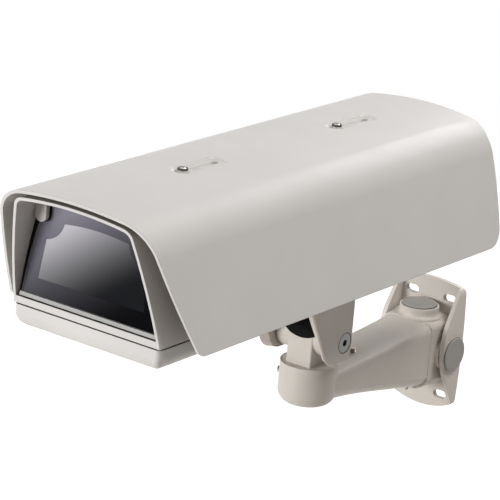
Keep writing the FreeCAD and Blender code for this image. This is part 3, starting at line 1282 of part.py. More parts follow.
def make_shade_hardware():
    """Slide pads, screws and washers of the sunshield."""
    floor_top = f"({HOOD_TOP} - shade_dish_depth)"
    pads, washers, screws = [], [], []
    for number, y_text in enumerate(SHADE_SCREWS, start=1):
        disc = cylinder(f"shade_pad_disc_{number}", "shade_pad_radius", "shade_pad_thick", "0", y_text,
                        f"{COVER_TOP} + 0.2 + seat_gap / 2")
        hole = cylinder(f"shade_pad_hole_{number}", "shade_screw_radius + seat_gap", "4 * shade_pad_thick", "0",
                        y_text, f"{COVER_TOP} - shade_pad_thick")
        pads.append(cut(f"shade_pad_{number}", disc, hole))
        disc = cylinder(f"shade_washer_disc_{number}", "shade_washer_radius", "shade_washer_thick", "0", y_text,
                        f"{floor_top} + seat_gap")
        hole = cylinder(f"shade_washer_hole_{number}", "shade_screw_radius + seat_gap", "4 * shade_washer_thick",
                        "0", y_text, f"{floor_top} - shade_washer_thick")
        washers.append(cut(f"shade_washer_{number}", disc, hole))
        screw = turned(f"shade_screw_turned_{number}", "0", [
            ("0", "shade_head_height"), ("shade_head_radius - 1", "shade_head_height"),
            ("shade_head_radius", "shade_head_height - 1"), ("shade_head_radius", "0"),
            ("shade_screw_radius", "0"), ("shade_screw_radius", "0 - 2 * hood_wall - shade_gap"),
            ("0", "0 - 2 * hood_wall - shade_gap")])
        key = hex_key(f"shade_key_{number}", "1.2 * shade_screw_radius", "shade_head_height")
        place(key, "0", "0", "shade_head_height / 3")
        whole = cut(f"shade_screw_{number}", screw, key)
        place(whole, "0", y_text, f"{floor_top} + shade_washer_thick + 1.5 * seat_gap")
        screws.append(whole)
    return [group("shade_slide_pads", pads), group("shade_washers", washers), group("shade_screws", screws)]


def make_fixings():
    """Hinge pins and closing screws of the cover."""
    pins, screws = [], []
    for number, y_text in enumerate(hinge_places(), start=1):
        pins.append(cylinder(f"hinge_pin_{number}", "hinge_pin_radius", "2 * knuckle_length + 2 * slide_gap",
                             HINGE_X, f"{y_text} + knuckle_length + slide_gap", HINGE_Z, (1, 0, 0), 90))
        screw = turned(f"closing_screw_turned_{number}", "0", [
            ("0", "closing_head_height"), ("closing_head_radius", "closing_head_height"), ("closing_head_radius", "0"),
            ("closing_screw_radius", "0"), ("closing_screw_radius", "0 - lug_height - seam_gap - lug_height + 1"),
            ("0", "0 - lug_height - seam_gap - lug_height + 1")])
        key = hex_key(f"closing_key_{number}", "1.6 * closing_screw_radius", "closing_head_height")
        place(key, "0", "0", "closing_head_height / 3")
        whole = cut(f"closing_screw_{number}", screw, key)
        place(whole, CLOSING_X, y_text, f"{COVER_Z} + lug_height + seat_gap")
        screws.append(whole)
    return [group("hinge_pins", pins), group("closing_screws", screws)]


nodes = [make_wall_arm()]
nodes += make_conduit_plugs()
nodes += make_arm_screws()
nodes += make_swivel_head()
nodes += make_cable_grommet()
nodes += make_tilt_hardware()
nodes += make_saddle()
nodes += make_base_tray()
nodes += make_tray_seal()
nodes += make_inner_kit()
nodes += make_cover()
nodes += make_window()
nodes += make_hood()
nodes += make_shade_hardware()
nodes += make_fixings()

doc.recompute()
for item in doc.Objects:
    if "Invalid" in item.State or "Error" in item.State:
        raise RuntimeError(f"{item.Label} failed: {item.State}")
os.makedirs("parts", exist_ok=True)
for node in nodes:
    if node.Shape.isNull() or not node.Shape.isValid():
        raise RuntimeError(f"{node.Label} has no valid shape")
    print(node.Label, len(node.Shape.Solids), round(node.Shape.Volume / 1000, 2))
    node.Shape.exportStep(f"parts/{node.Label}.step")
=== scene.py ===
"""Looks of a security camera housing with a sliding sunshield on a cast wall arm.

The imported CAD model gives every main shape. This script gives each surface its finish, adds the
small pieces, and sets up the studio and the camera.
"""
from __future__ import annotations

import logging
import math
from collections.abc import Iterable, Sequence
from dataclasses import dataclass
from enum import Enum

import bmesh
import bpy
from mathutils import Matrix, Vector


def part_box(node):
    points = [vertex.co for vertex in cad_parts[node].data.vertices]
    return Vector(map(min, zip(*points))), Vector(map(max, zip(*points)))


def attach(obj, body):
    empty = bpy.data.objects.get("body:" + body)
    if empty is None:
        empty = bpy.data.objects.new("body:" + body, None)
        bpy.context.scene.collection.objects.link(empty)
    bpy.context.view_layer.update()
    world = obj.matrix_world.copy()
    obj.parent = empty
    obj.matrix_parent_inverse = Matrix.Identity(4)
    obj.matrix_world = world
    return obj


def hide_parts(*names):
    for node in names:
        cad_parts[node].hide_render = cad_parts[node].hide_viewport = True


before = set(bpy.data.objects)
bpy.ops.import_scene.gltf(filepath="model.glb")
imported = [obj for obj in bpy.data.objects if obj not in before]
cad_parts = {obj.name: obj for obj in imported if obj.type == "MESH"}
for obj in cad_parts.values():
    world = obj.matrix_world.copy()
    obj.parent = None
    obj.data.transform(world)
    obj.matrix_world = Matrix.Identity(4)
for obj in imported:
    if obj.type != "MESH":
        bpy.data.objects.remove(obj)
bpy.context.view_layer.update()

LOG = logging.getLogger("camera_housing")
MM = 0.001
FULL_TURN = 2 * math.pi
Colour = tuple[float, float, float]


def mm(x: float, y: float, z: float) -> Vector:
    """Point given in millimetres, in metres."""
    return Vector((x, y, z)) * MM


def corners(node: str) -> tuple[Vector, Vector]:
    """Lowest and highest corner of a CAD node, in millimetres."""
    low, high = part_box(node)
    return low / MM, high / MM


class Grain(Enum):
    """How the fine relief of a surface is laid out."""

    PEEL = "peel"
    SAND = "sand"
    BRUSHED = "brushed"
    WOVEN = "woven"


class Facing(Enum):
    """Direction that a turned piece's top looks to."""

    UP = (0.0, "X")
    DOWN = (180.0, "X")
    FRONT = (90.0, "X")
    BACK = (-90.0, "X")
    RIGHT = (90.0, "Y")
    LEFT = (-90.0, "Y")

    def at(self, x: float, y: float, z: float) -> Matrix:
        """Place of a piece whose top looks this way.

        Args:
            x: Place to the right.
            y: Place toward the wall.
            z: Height.

        Returns:
            The matrix that puts the piece there.
        """
        degrees, axis = self.value
        return Matrix.Translation((x, y, z)) @ Matrix.Rotation(math.radians(degrees), 4, axis)


class NodeBoard:
    """A material's node tree with short calls for the nodes used here."""

    def __init__(self, name: str) -> None:
        """Start a material with one Principled shader.

        Args:
            name: The material's name.
        """
        self.material = bpy.data.materials.new(name)
        self.material.use_nodes = True
        self.tree = self.material.node_tree
        self.tree.nodes.clear()
        self.output = self.tree.nodes.new("ShaderNodeOutputMaterial")
        self.shader = self.tree.nodes.new("ShaderNodeBsdfPrincipled")
        self.link(self.shader.outputs["BSDF"], self.output.inputs["Surface"])
        self.place = self.tree.nodes.new("ShaderNodeTexCoord").outputs["Object"]

    def link(self, source: bpy.types.NodeSocket, target: bpy.types.NodeSocket) -> None:
        """Join two sockets."""
        self.tree.links.new(source, target)

    def mapped(self, stretch: Colour) -> bpy.types.NodeSocket:
        """Object coordinates stretched along each axis.

        Args:
            stretch: Scale along X, Y and Z.

        Returns:
            The vector socket.
        """
        node = self.tree.nodes.new("ShaderNodeMapping")
        node.inputs["Scale"].default_value = stretch
        self.link(self.place, node.inputs["Vector"])
        return node.outputs["Vector"]

    def noise(self, scale: float, detail: float = 4.0, roughness: float = 0.55,
              vector: bpy.types.NodeSocket | None = None) -> bpy.types.NodeSocket:
        """Noise on object coordinates.

        Args:
            scale: Waves per metre.
            detail: Octaves.
            roughness: Share kept by each octave.
            vector: Other coordinates to read.

        Returns:
            The noise value's socket.
        """
        node = self.tree.nodes.new("ShaderNodeTexNoise")
        node.inputs["Scale"].default_value = scale
        node.inputs["Detail"].default_value = detail
        node.inputs["Roughness"].default_value = roughness
        self.link(vector or self.place, node.inputs["Vector"])
        return node.outputs["Fac"]

    def ranged(self, value: bpy.types.NodeSocket, low: float, high: float,
               to_low: float, to_high: float) -> bpy.types.NodeSocket:
        """A value moved from one range to another, clamped.

        Args:
            value: The value's socket.
            low: Where the source range starts.
            high: Where the source range ends.
            to_low: Result at low.
            to_high: Result at high.

        Returns:
            The result's socket.
        """
        node = self.tree.nodes.new("ShaderNodeMapRange")
        for socket, number in zip(("From Min", "From Max", "To Min", "To Max"), (low, high, to_low, to_high)):
            node.inputs[socket].default_value = number
        self.link(value, node.inputs["Value"])
        return node.outputs["Result"]

    def sum_of(self, operation: str, first: bpy.types.NodeSocket,
               second: bpy.types.NodeSocket | float) -> bpy.types.NodeSocket:
        """A math node on two values.

        Args:
            operation: Name of the math node's operation.
            first: First value.
            second: Second value, a socket or a number.

        Returns:
            The result's socket.
        """
        node = self.tree.nodes.new("ShaderNodeMath")
        node.operation = operation
        self.link(first, node.inputs[0])
        if isinstance(second, bpy.types.NodeSocket):
            self.link(second, node.inputs[1])
        else:
            node.inputs[1].default_value = second
        return node.outputs[0]

    def mixed(self, factor: bpy.types.NodeSocket, first: Colour | bpy.types.NodeSocket,
              second: Colour | bpy.types.NodeSocket) -> bpy.types.NodeSocket:
        """Two colours mixed by a factor.

        Args:
            factor: Share of the second colour.
            first: Colour at 0.
            second: Colour at 1.

        Returns:
            The mixed colour's socket.
        """
        node = self.tree.nodes.new("ShaderNodeMix")
        node.data_type = "RGBA"
        self.link(factor, node.inputs["Factor"])
        sockets = [s for s in node.inputs if s.type == "RGBA"]
        for socket, colour in zip(sockets, (first, second)):
            if isinstance(colour, bpy.types.NodeSocket):
                self.link(colour, socket)
            else:
                socket.default_value = (*colour, 1.0)
        return [s for s in node.outputs if s.type == "RGBA"][0]

    def bump(self, height: bpy.types.NodeSocket, strength: float, distance: float, edge: float) -> None:
        """Relief and rounded edges on the shader's normal.

        Args:
            height: Height's socket.
            strength: Strength from 0 to 1.
            distance: Height of the relief in metres.
            edge: Radius of the edges in metres.
        """
        node = self.tree.nodes.new("ShaderNodeBump")
        node.inputs["Strength"].default_value = strength
        node.inputs["Distance"].default_value = distance
        self.link(height, node.inputs["Height"])
        if edge > 0:
            soft = self.tree.nodes.new("ShaderNodeBevel")
            soft.samples = 4
            soft.inputs["Radius"].default_value = edge
            self.link(soft.outputs["Normal"], node.inputs["Normal"])
        self.link(node.outputs["Normal"], self.shader.inputs["Normal"])


@dataclass(frozen=True)
class Finish:
    """A surface finish: colour, gloss and fine relief."""

    name: str
    slot: str
    colour: Colour
    roughness: float
    metallic: float = 0.0
    grain: Grain = Grain.PEEL
    grain_scale: float = 900.0
    relief: float = 0.00004
    drift: float = 0.04
    # Strength of the painted shade that darkens the colour in corners and recesses.
    painted_shade: float = 0.0
    coat: float = 0.0
    specular: float = 0.5
    edge: float = 0.0
    hollow: float = 0.006

    def material(self) -> bpy.types.Material:
        """The finish's material, made on first use.

        Returns:
            The material.
        """
        made = bpy.data.materials.get(self.name)
        return made if made else self.build()

    def build(self) -> bpy.types.Material:
        """Make the material's nodes.

        Returns:
            The new material.
        """
        board = NodeBoard(self.name)
        shader = board.shader
        shader.inputs["Metallic"].default_value = self.metallic
        shader.inputs["Coat Weight"].default_value = self.coat
        shader.inputs["Specular IOR Level"].default_value = self.specular
        board.link(self.tone(board), shader.inputs["Base Color"])
        patches = board.noise(60.0, 4.0)
        gloss = board.ranged(patches, 0.3, 0.7, self.roughness * 0.88, min(1.0, self.roughness * 1.12))
        board.link(gloss, shader.inputs["Roughness"])
        board.bump(self.relief_height(board), 0.6, self.relief, self.edge)
        return board.material

    def tone(self, board: NodeBoard) -> bpy.types.NodeSocket:
        """The surface's colour, slightly uneven, with painted shade in its corners.

        Args:
            board: The material's nodes.

        Returns:
            The colour's socket.
        """
        darker = tuple(c * (1.0 - self.drift) for c in self.colour)
        lighter = tuple(min(1.0, c * (1.0 + self.drift)) for c in self.colour)
        cloud = board.ranged(board.noise(14.0, 5.0), 0.3, 0.7, 0.0, 1.0)
        plain = board.mixed(cloud, darker, lighter)
        return self.painted_corner_shade(board, plain) if self.painted_shade > 0 else plain

    def painted_corner_shade(self, board: NodeBoard, tone: bpy.types.NodeSocket) -> bpy.types.NodeSocket:
        """Painted shade: a darker, warmer colour in corners and recesses, where ambient occlusion finds them.

        Args:
            board: The material's nodes.
            tone: The clean colour.

        Returns:
            The colour with painted shade in the corners.
        """
        node = board.tree.nodes.new("ShaderNodeAmbientOcclusion")
        node.samples = 4
        node.inputs["Distance"].default_value = self.hollow
        hollow = board.ranged(node.outputs["AO"], 0.1, 0.85, self.painted_shade, 0.0)
        # Painted shade: a darker, warmer copy of the colour, mixed in where occlusion is strong.
        shade_colour = tuple(c * share for c, share in zip(self.colour, (0.42, 0.38, 0.345)))
        return board.mixed(hollow, tone, shade_colour)

    def relief_height(self, board: NodeBoard) -> bpy.types.NodeSocket:
        """Height pattern of the fine relief.

        Args:
            board: The material's nodes.

        Returns:
            The height's socket.
        """
        if self.grain is Grain.BRUSHED:
            return board.noise(self.grain_scale, 3.0, 0.6, board.mapped((0.06, 1.0, 1.0)))
        if self.grain is Grain.SAND:
            return board.noise(self.grain_scale, 8.0, 0.7)
        if self.grain is Grain.WOVEN:
            warp = board.noise(self.grain_scale, 1.0, 0.4, board.mapped((0.1, 1.0, 1.0)))
            weft = board.noise(self.grain_scale, 1.0, 0.4, board.mapped((1.0, 0.1, 1.0)))
            return board.sum_of("ADD", warp, weft)
        return board.noise(self.grain_scale, 2.0, 0.4)


HOUSING_PAINT = (0.66, 0.647, 0.634)
# Darker and warmer than the housing's paint: partly the bracket's paint, partly painted shade from the housing above
# it.
BRACKET_PAINT_AND_SHADE = (0.60, 0.558, 0.51)
# Several finishes below darken their corners and recesses with painted shade.
COATED = Finish("powder_coat_housing", "casting_paint", HOUSING_PAINT, 0.44, grain=Grain.SAND,
                grain_scale=1500.0, relief=0.00003, painted_shade=0.9, edge=0.0006, hollow=0.03)
CASTING = Finish("powder_coat_bracket", "casting_paint", BRACKET_PAINT_AND_SHADE, 0.46, grain=Grain.SAND,
                 grain_scale=1200.0, relief=0.00006, painted_shade=0.4, edge=0.0007)
SHADE = Finish("powder_coat_sheet", "shade_paint", HOUSING_PAINT, 0.42, grain=Grain.PEEL, grain_scale=700.0,
               relief=0.00002, drift=0.02, painted_shade=0.25, edge=0.0007, hollow=0.03)
PLUG = Finish("moulded_grey_plug", "plug_grey", (0.30, 0.29, 0.27), 0.55, grain=Grain.SAND, grain_scale=2600.0,
              relief=0.00004, painted_shade=0.3, edge=0.0003)
STEEL = Finish("stainless_screw", "steel", (0.42, 0.41, 0.40), 0.3, metallic=1.0, grain=Grain.BRUSHED,
               grain_scale=2500.0, relief=0.00002, painted_shade=0.5, edge=0.0002)
PIVOT_STEEL = Finish("dull_pivot_steel", "steel", (0.17, 0.168, 0.165), 0.38, metallic=1.0, grain=Grain.SAND,
                     grain_scale=2500.0, relief=0.00002, painted_shade=0.3, edge=0.0003)
BRONZED = Finish("bronzed_screw", "dark_steel", (0.30, 0.25, 0.21), 0.24, metallic=1.0, grain=Grain.SAND,
                 grain_scale=3000.0, relief=0.00002, edge=0.0001)
SCREW_DOME = Finish("polished_dome", "steel", (0.58, 0.56, 0.54), 0.22, metallic=1.0, grain=Grain.SAND,
                    grain_scale=3000.0, relief=0.00001)
# Dark ring of painted shade round the pocket screws' domes.
SCREW_RIM_SHADE = Finish("painted_rim_shade", "dark_steel", (0.045, 0.036, 0.03), 0.35, metallic=0.6, grain=Grain.SAND,
                   grain_scale=3000.0, relief=0.00001)
# Near-black colour of painted shade inside sockets and screw recesses.
SOCKET_SHADE = Finish("socket_shadow", "dark_steel", (0.006, 0.006, 0.006), 0.7, grain=Grain.SAND,
                      grain_scale=3000.0, relief=0.00002, specular=0.1)
BLACK_RUBBER = Finish("black_rubber", "rubber_black", (0.0045, 0.0045, 0.0045), 0.7, grain=Grain.SAND,
                      grain_scale=1800.0, relief=0.00004, drift=0.2, specular=0.06)
FOAM_SEAL = Finish("foam_seal", "seal_grey", (0.018, 0.018, 0.019), 0.8, grain=Grain.SAND, grain_scale=1500.0,
                   relief=0.0001, drift=0.2, specular=0.15)
WHITE_NYLON = Finish("white_nylon", "nylon", (0.86, 0.86, 0.85), 0.35, grain=Grain.SAND, grain_scale=2000.0,
                     relief=0.00001)
NYLON = Finish("natural_nylon", "nylon", (0.66, 0.64, 0.60), 0.4, grain=Grain.SAND, grain_scale=2000.0,
               relief=0.00002)
SLIDE_METAL = Finish("mill_aluminium", "slide_metal", (0.44, 0.445, 0.45), 0.46, metallic=0.9,
                     grain=Grain.BRUSHED, grain_scale=1800.0, relief=0.00003, edge=0.0002)
HEATER_METAL = Finish("anodised_heater", "heater_metal", (0.33, 0.33, 0.34), 0.42, metallic=0.9,
                      grain=Grain.BRUSHED, grain_scale=1800.0, relief=0.00003)
BOARD = Finish("circuit_board", "board_green", (0.018, 0.11, 0.045), 0.38, grain=Grain.WOVEN,
               grain_scale=1800.0, relief=0.00002, coat=0.3)
CHIP = Finish("chip_plastic", "rubber_black", (0.02, 0.02, 0.022), 0.5, grain=Grain.SAND, grain_scale=3000.0,
              relief=0.00002)
TINNED = Finish("tinned_metal", "steel", (0.6, 0.6, 0.58), 0.3, metallic=1.0, grain=Grain.BRUSHED,
                grain_scale=2500.0, relief=0.00001)
TERMINAL = Finish("terminal_plastic", "terminal_green", (0.035, 0.26, 0.10), 0.45, grain=Grain.SAND,
                  grain_scale=2500.0, relief=0.00002)
GLAND = Finish("gland_plastic", "gland_grey", (0.075, 0.078, 0.080), 0.5, grain=Grain.SAND, grain_scale=2500.0,
               relief=0.00003)
STRIP = Finish("satin_strip", "strip_metal", (0.34, 0.335, 0.325), 0.5, metallic=0.0, grain=Grain.BRUSHED,
               grain_scale=3000.0, relief=0.000004, edge=0.0004)
# Paler colour of the pane's edge line, partly a painted highlight.
PANE_EDGE_HIGHLIGHT = Finish("pane_edge_painted_highlight", "window", (0.20, 0.195, 0.225), 0.35, grain=Grain.SAND, grain_scale=2500.0,
                   relief=0.00002, drift=0.1)


@dataclass(frozen=True)
class PaneTintWithPaintedLight(Finish):
    """Glossy pane or print, with painted light: paler toward the upper left, where light falls through the front."""

    # Colour of the painted light at the pane's upper left.
    painted_light: Colour = (0.52, 0.515, 0.55)
    fade_from: float = 0.130
    fade_to: float = 0.198
    fade_power: float = 1.9
    fade_lean: float = -0.7

    def tone(self, board: NodeBoard) -> bpy.types.NodeSocket:
        """The pane's colour, faded along a slanted line into painted light at the upper left.

        Args:
            board: The material's nodes.

        Returns:
            The colour's socket.
        """
        split = board.tree.nodes.new("ShaderNodeSeparateXYZ")
        board.link(board.place, split.inputs["Vector"])
        sideways = board.sum_of("MULTIPLY", split.outputs["X"], self.fade_lean)
        along = board.sum_of("ADD", sideways, split.outputs["Z"])
        fade = board.sum_of("POWER", board.ranged(along, self.fade_from, self.fade_to, 0.0, 1.0), self.fade_power)
        return board.mixed(fade, self.colour, self.painted_light)


CLEAR_PANE = PaneTintWithPaintedLight("window_pane", "window", (0.009, 0.0098, 0.0118), 0.09, grain=Grain.PEEL, grain_scale=40.0,
                      relief=0.00001, specular=0.04)
PRINTED_BORDER = PaneTintWithPaintedLight("printed_border", "window", (0.004, 0.0042, 0.0052), 0.16, grain=Grain.PEEL,
                          grain_scale=60.0, relief=0.00001, specular=0.01, painted_light=(0.245, 0.238, 0.285),
                          fade_from=0.105, fade_to=0.212, fade_power=2.0)


class Shape:
    """A small piece on the bench, in millimetres, before it is put in its place."""

    def __init__(self) -> None:
        """Start with an empty mesh."""
        self.mesh = bmesh.new()

    def lathe(self, profile: Sequence[tuple[float, float]], steps: int = 48) -> Shape:
        """Turn a profile about the Z axis.

        Args:
            profile: Its corners as radius and height, in order.
            steps: Steps of the full turn.

        Returns:
            The shape.
        """
        rim = [self.mesh.verts.new((radius, 0.0, height)) for radius, height in profile]
        line = [self.mesh.edges.new(pair) for pair in zip(rim, rim[1:])]
        bmesh.ops.spin(self.mesh, geom=rim + line, cent=(0, 0, 0), axis=(0, 0, 1), angle=FULL_TURN, steps=steps,
                       use_merge=True)
        bmesh.ops.remove_doubles(self.mesh, verts=self.mesh.verts, dist=0.001)
        return self

    def ring(self, radius: float, wire: float, height: float = 0.0, steps: int = 64) -> Shape:
        """Round cord bent to a ring about the Z axis.

        Args:
            radius: Radius of the cord's middle.
            wire: Radius of the cord.
            height: Height of the cord's middle.
            steps: Steps of the full turn.

        Returns:
            The shape.
        """
        stand = Matrix.Translation((radius, 0, height)) @ Matrix.Rotation(math.pi / 2, 4, "X")
        made = bmesh.ops.create_circle(self.mesh, segments=10, radius=wire, matrix=stand)
        line = {edge for vert in made["verts"] for edge in vert.link_edges}
        bmesh.ops.spin(self.mesh, geom=made["verts"] + list(line), cent=(0, 0, 0), axis=(0, 0, 1), angle=FULL_TURN,
                       steps=steps, use_merge=True)
        return self

    def block(self, x: float, y: float, z: float, place: Matrix) -> Shape:
        """Block of a given size about a place.

        Args:
            x: Size along X.
            y: Size along Y.
            z: Size along Z.
            place: Where its middle goes.

        Returns:
            The shape.
        """
        bmesh.ops.create_cube(self.mesh, size=1.0, matrix=place @ Matrix.Diagonal((x, y, z, 1.0)))
        return self

    def prism(self, sides: int, radius: float, low: float, high: float) -> Shape:
        """Upright prism of equal sides.

        Args:
            sides: How many sides.
            radius: Radius to its corners.
            low: Height of its foot.
            high: Height of its top.

        Returns:
            The shape.
        """
        made = bmesh.ops.create_circle(self.mesh, cap_ends=True, segments=sides, radius=radius,
                                       matrix=Matrix.Translation((0, 0, low)))
        return self.raised(set(made["verts"][0].link_faces), high - low)

    def raised(self, faces: Iterable[bmesh.types.BMFace], height: float) -> Shape:
        """Give flat faces a thickness.

        Args:
            faces: The faces.
            height: The thickness, along Z.

        Returns:
            The shape.
        """
        grown = bmesh.ops.extrude_face_region(self.mesh, geom=list(faces))
        verts = [item for item in grown["geom"] if isinstance(item, bmesh.types.BMVert)]
        bmesh.ops.translate(self.mesh, verts=verts, vec=(0, 0, height))
        return self

    def filled(self, height: float) -> Shape:
        """Fill between the flat outlines drawn so far and give the sheet a thickness.

        Args:
            height: The thickness, along Z.

        Returns:
            The shape.
        """
        bmesh.ops.triangle_fill(self.mesh, use_beauty=True, use_dissolve=False, edges=self.mesh.edges,
                                normal=(0, 0, 1))
        return self.raised(self.mesh.faces, height)

    def softened(self, width: float, segments: int = 2, sharper_than: float = 40.0) -> Shape:
        """Round the sharp edges.

        Args:
            width: Width of the rounding.
            segments: Steps of the rounding.
            sharper_than: Angle in degrees from which an edge is rounded.

        Returns:
            The shape.
        """
        limit = math.radians(sharper_than)
        bmesh.ops.recalc_face_normals(self.mesh, faces=self.mesh.faces)
        sharp = [edge for edge in self.mesh.edges if len(edge.link_faces) == 2 and edge.calc_face_angle() > limit]
        bmesh.ops.bevel(self.mesh, geom=sharp, offset=width, offset_type="OFFSET", segments=segments, profile=0.5,
                        affect="EDGES", material=-1, clamp_overlap=True)
        return self

    def moved(self, place: Matrix) -> Shape:
        """Move the whole shape."""
        bmesh.ops.transform(self.mesh, matrix=place, verts=self.mesh.verts)
        return self

    def joined(self, other: Shape) -> Shape:
        """Take in another shape, which is used up.

        Args:
            other: The other shape.

        Returns:
            The shape.
        """
        held = bpy.data.meshes.new("held")
        other.mesh.to_mesh(held)
        other.mesh.free()
        self.mesh.from_mesh(held)
        bpy.data.meshes.remove(held)
        return self

    def repeated(self, places: Sequence[Matrix]) -> Shape:
        """Put a copy of the shape at each place, and take the first one away.

        Args:
            places: The places.

        Returns:
            The shape.
        """
        first = list(self.mesh.verts)
        whole = first + list(self.mesh.edges) + list(self.mesh.faces)
        for place in places:
            copy = bmesh.ops.duplicate(self.mesh, geom=whole)
            verts = [item for item in copy["geom"] if isinstance(item, bmesh.types.BMVert)]
            bmesh.ops.transform(self.mesh, matrix=place, verts=verts)
        bmesh.ops.delete(self.mesh, geom=first, context="VERTS")
        return self

    def done(self, name: str, finish: Finish, body: str, stands_for: Sequence[str] = ()) -> bpy.types.Object:
        """Make the piece, dressed and riding on its body.

        Args:
            name: The piece's name.
            finish: Its finish.
            body: The CAD body that it moves with.
            stands_for: CAD nodes that it replaces.

        Returns:
            The piece.
        """
        bmesh.ops.recalc_face_normals(self.mesh, faces=self.mesh.faces)
        bmesh.ops.scale(self.mesh, vec=(MM, MM, MM), verts=self.mesh.verts)
        data = bpy.data.meshes.new(name)
        self.mesh.to_mesh(data)
        self.mesh.free()
        data.materials.append(finish.material())
        data.shade_smooth()
        data.set_sharp_from_angle(angle=math.radians(38))
        piece = bpy.data.objects.new(name, data)
        bpy.context.scene.collection.objects.link(piece)
        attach(piece, body)
        if stands_for:
            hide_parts(*stands_for)
        LOG.info("made %s on %s", name, body)
        return piece


def dress(node: str, finish: Finish) -> None:
    """Give a CAD node its finish.

    Args:
        node: The node's name.
        finish: The finish.
    """
    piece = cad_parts[node]
    piece.data.materials.clear()
    piece.data.materials.append(finish.material())
    for polygon in piece.data.polygons:
        polygon.material_index = 0
    LOG.info("dressed %s in %s", node, finish.name)


@dataclass
class WallBracket:
    """Wall plate, arm and cup, with the conduit plugs and screws."""

    # Wire radius of the black rings of painted shadow under the plug heads.
    plug_shadow_wire: float = 0.26
    # Radius of the black ring of painted shadow in the cup's gap.
    gap_shadow_radius: float = 21.3
    thread_radius: float = 2.8
    thread_pitch: float = 1.1
    nub: tuple[float, float, float] = (9.0, -42.7, -28.8)

    def build(self) -> None:
        """Dress the bracket's pieces and add its details."""
        dress("wall_arm", CASTING)
        for name in ("conduit_plug_top", "conduit_plug_right", "conduit_plug_left"):
            dress(name, PLUG)
        dress("pan_lock_screws", STEEL)
        dress("pan_seal_ring", BLACK_RUBBER)
        self.plug_shadow_rings()
        self.cup_gap_shadow()
        self.earth_screw()
        self.drain_nub()

    def plug_shadow_rings(self) -> None:
        """Thin black ring under the head of each conduit plug: painted shadow where the head meets its boss."""
        low, high = corners("conduit_plug_top")
        middle = (low + high) / 2
        radius = (high.x - low.x) / 2
        top = Facing.UP.at(middle.x, middle.y, high.z - 1.5)
        right_low, right = corners("conduit_plug_right")
        left, _ = corners("conduit_plug_left")
        side_y = (right_low.y + right.y) / 2
        side_z = (right_low.z + right.z) / 2
        places = [top, Facing.RIGHT.at(right.x - 1.5, side_y, side_z), Facing.LEFT.at(left.x + 1.5, side_y, side_z)]
        Shape().ring(radius - 0.05, self.plug_shadow_wire).repeated(places).done("plug_shadow_rings", BLACK_RUBBER, "wall_bracket")

    def cup_gap_shadow(self) -> None:
        """Black ring in the gap between the cup and the turning head: painted shadow of that gap."""
        neck, _ = corners("swivel_neck")
        _, seal = corners("pan_seal_ring")
        place = Facing.UP.at(0, (corners("pan_seal_ring")[0].y + seal.y) / 2, seal.z + 1.6)
        Shape().ring(self.gap_shadow_radius, 0.22).moved(place).done("cup_gap_shadow_ring", BLACK_RUBBER, "wall_bracket")

    def earth_screw(self) -> None:
        """Small dark screw on the arm's top, with its threads and slot."""
        low, high = corners("earth_screw")
        middle = (low + high) / 2
        root = self.thread_radius - 0.6
        profile = [(0.0, low.z - high.z)]
        turns = int((high.z - low.z) / self.thread_pitch)
        for turn in range(turns):
            foot = low.z - high.z + turn * self.thread_pitch
            profile += [(root, foot), (root, foot + 0.25 * self.thread_pitch),
                        (self.thread_radius, foot + 0.5 * self.thread_pitch),
                        (self.thread_radius, foot + 0.65 * self.thread_pitch)]
        profile += [(root, -0.1), (0.0, 0.0)]
        Shape().lathe(profile, 32).moved(Facing.UP.at(middle.x, middle.y, high.z)).done(
            "earth_screw_threaded", BRONZED, "wall_bracket", ["earth_screw"])

    def drain_nub(self) -> None:
        """Small screw head under the arm, near the plate."""
        profile = [(0.0, 1.6), (1.0, 1.5), (1.7, 0.9), (1.9, 0.0), (1.9, -1.5), (0.0, -1.5)]
        Shape().lathe(profile, 24).moved(Facing.DOWN.at(*self.nub)).done("drain_screw", CASTING, "wall_bracket")


@dataclass
class SwivelHead:
    """Turning head with its grommet, washers and pivot bolts."""

    head_radius: float = 8.0
    hex_radius: float = 2.85
    shadow_ring_wire: float = 0.28

    def build(self) -> None:
        """Dress the head's pieces and add the bolts' details: black rings of painted shadow round the heads and
        black hex plugs of painted shade in the sockets.
        """
        dress("swivel_neck", CASTING)
        dress("cable_grommet", BLACK_RUBBER)
        dress("tilt_friction_washers", BLACK_RUBBER)
        dress("tilt_bolt_left", PIVOT_STEEL)
        dress("tilt_bolt_right", PIVOT_STEEL)
        low, high = corners("tilt_bolt_right")
        outer_left, _ = corners("tilt_bolt_left")
        y, z = (low.y + high.y) / 2, (low.z + high.z) / 2
        heads = [Facing.RIGHT.at(high.x, y, z), Facing.LEFT.at(outer_left.x, y, z)]
        Shape().ring(self.head_radius + 0.1, self.shadow_ring_wire).repeated(heads).done("pivot_head_shadow_rings", BLACK_RUBBER,
                                                                             "swivel")
        Shape().prism(6, self.hex_radius, -2.9, -1.1).repeated(heads).done("pivot_socket_shades", SOCKET_SHADE, "swivel")


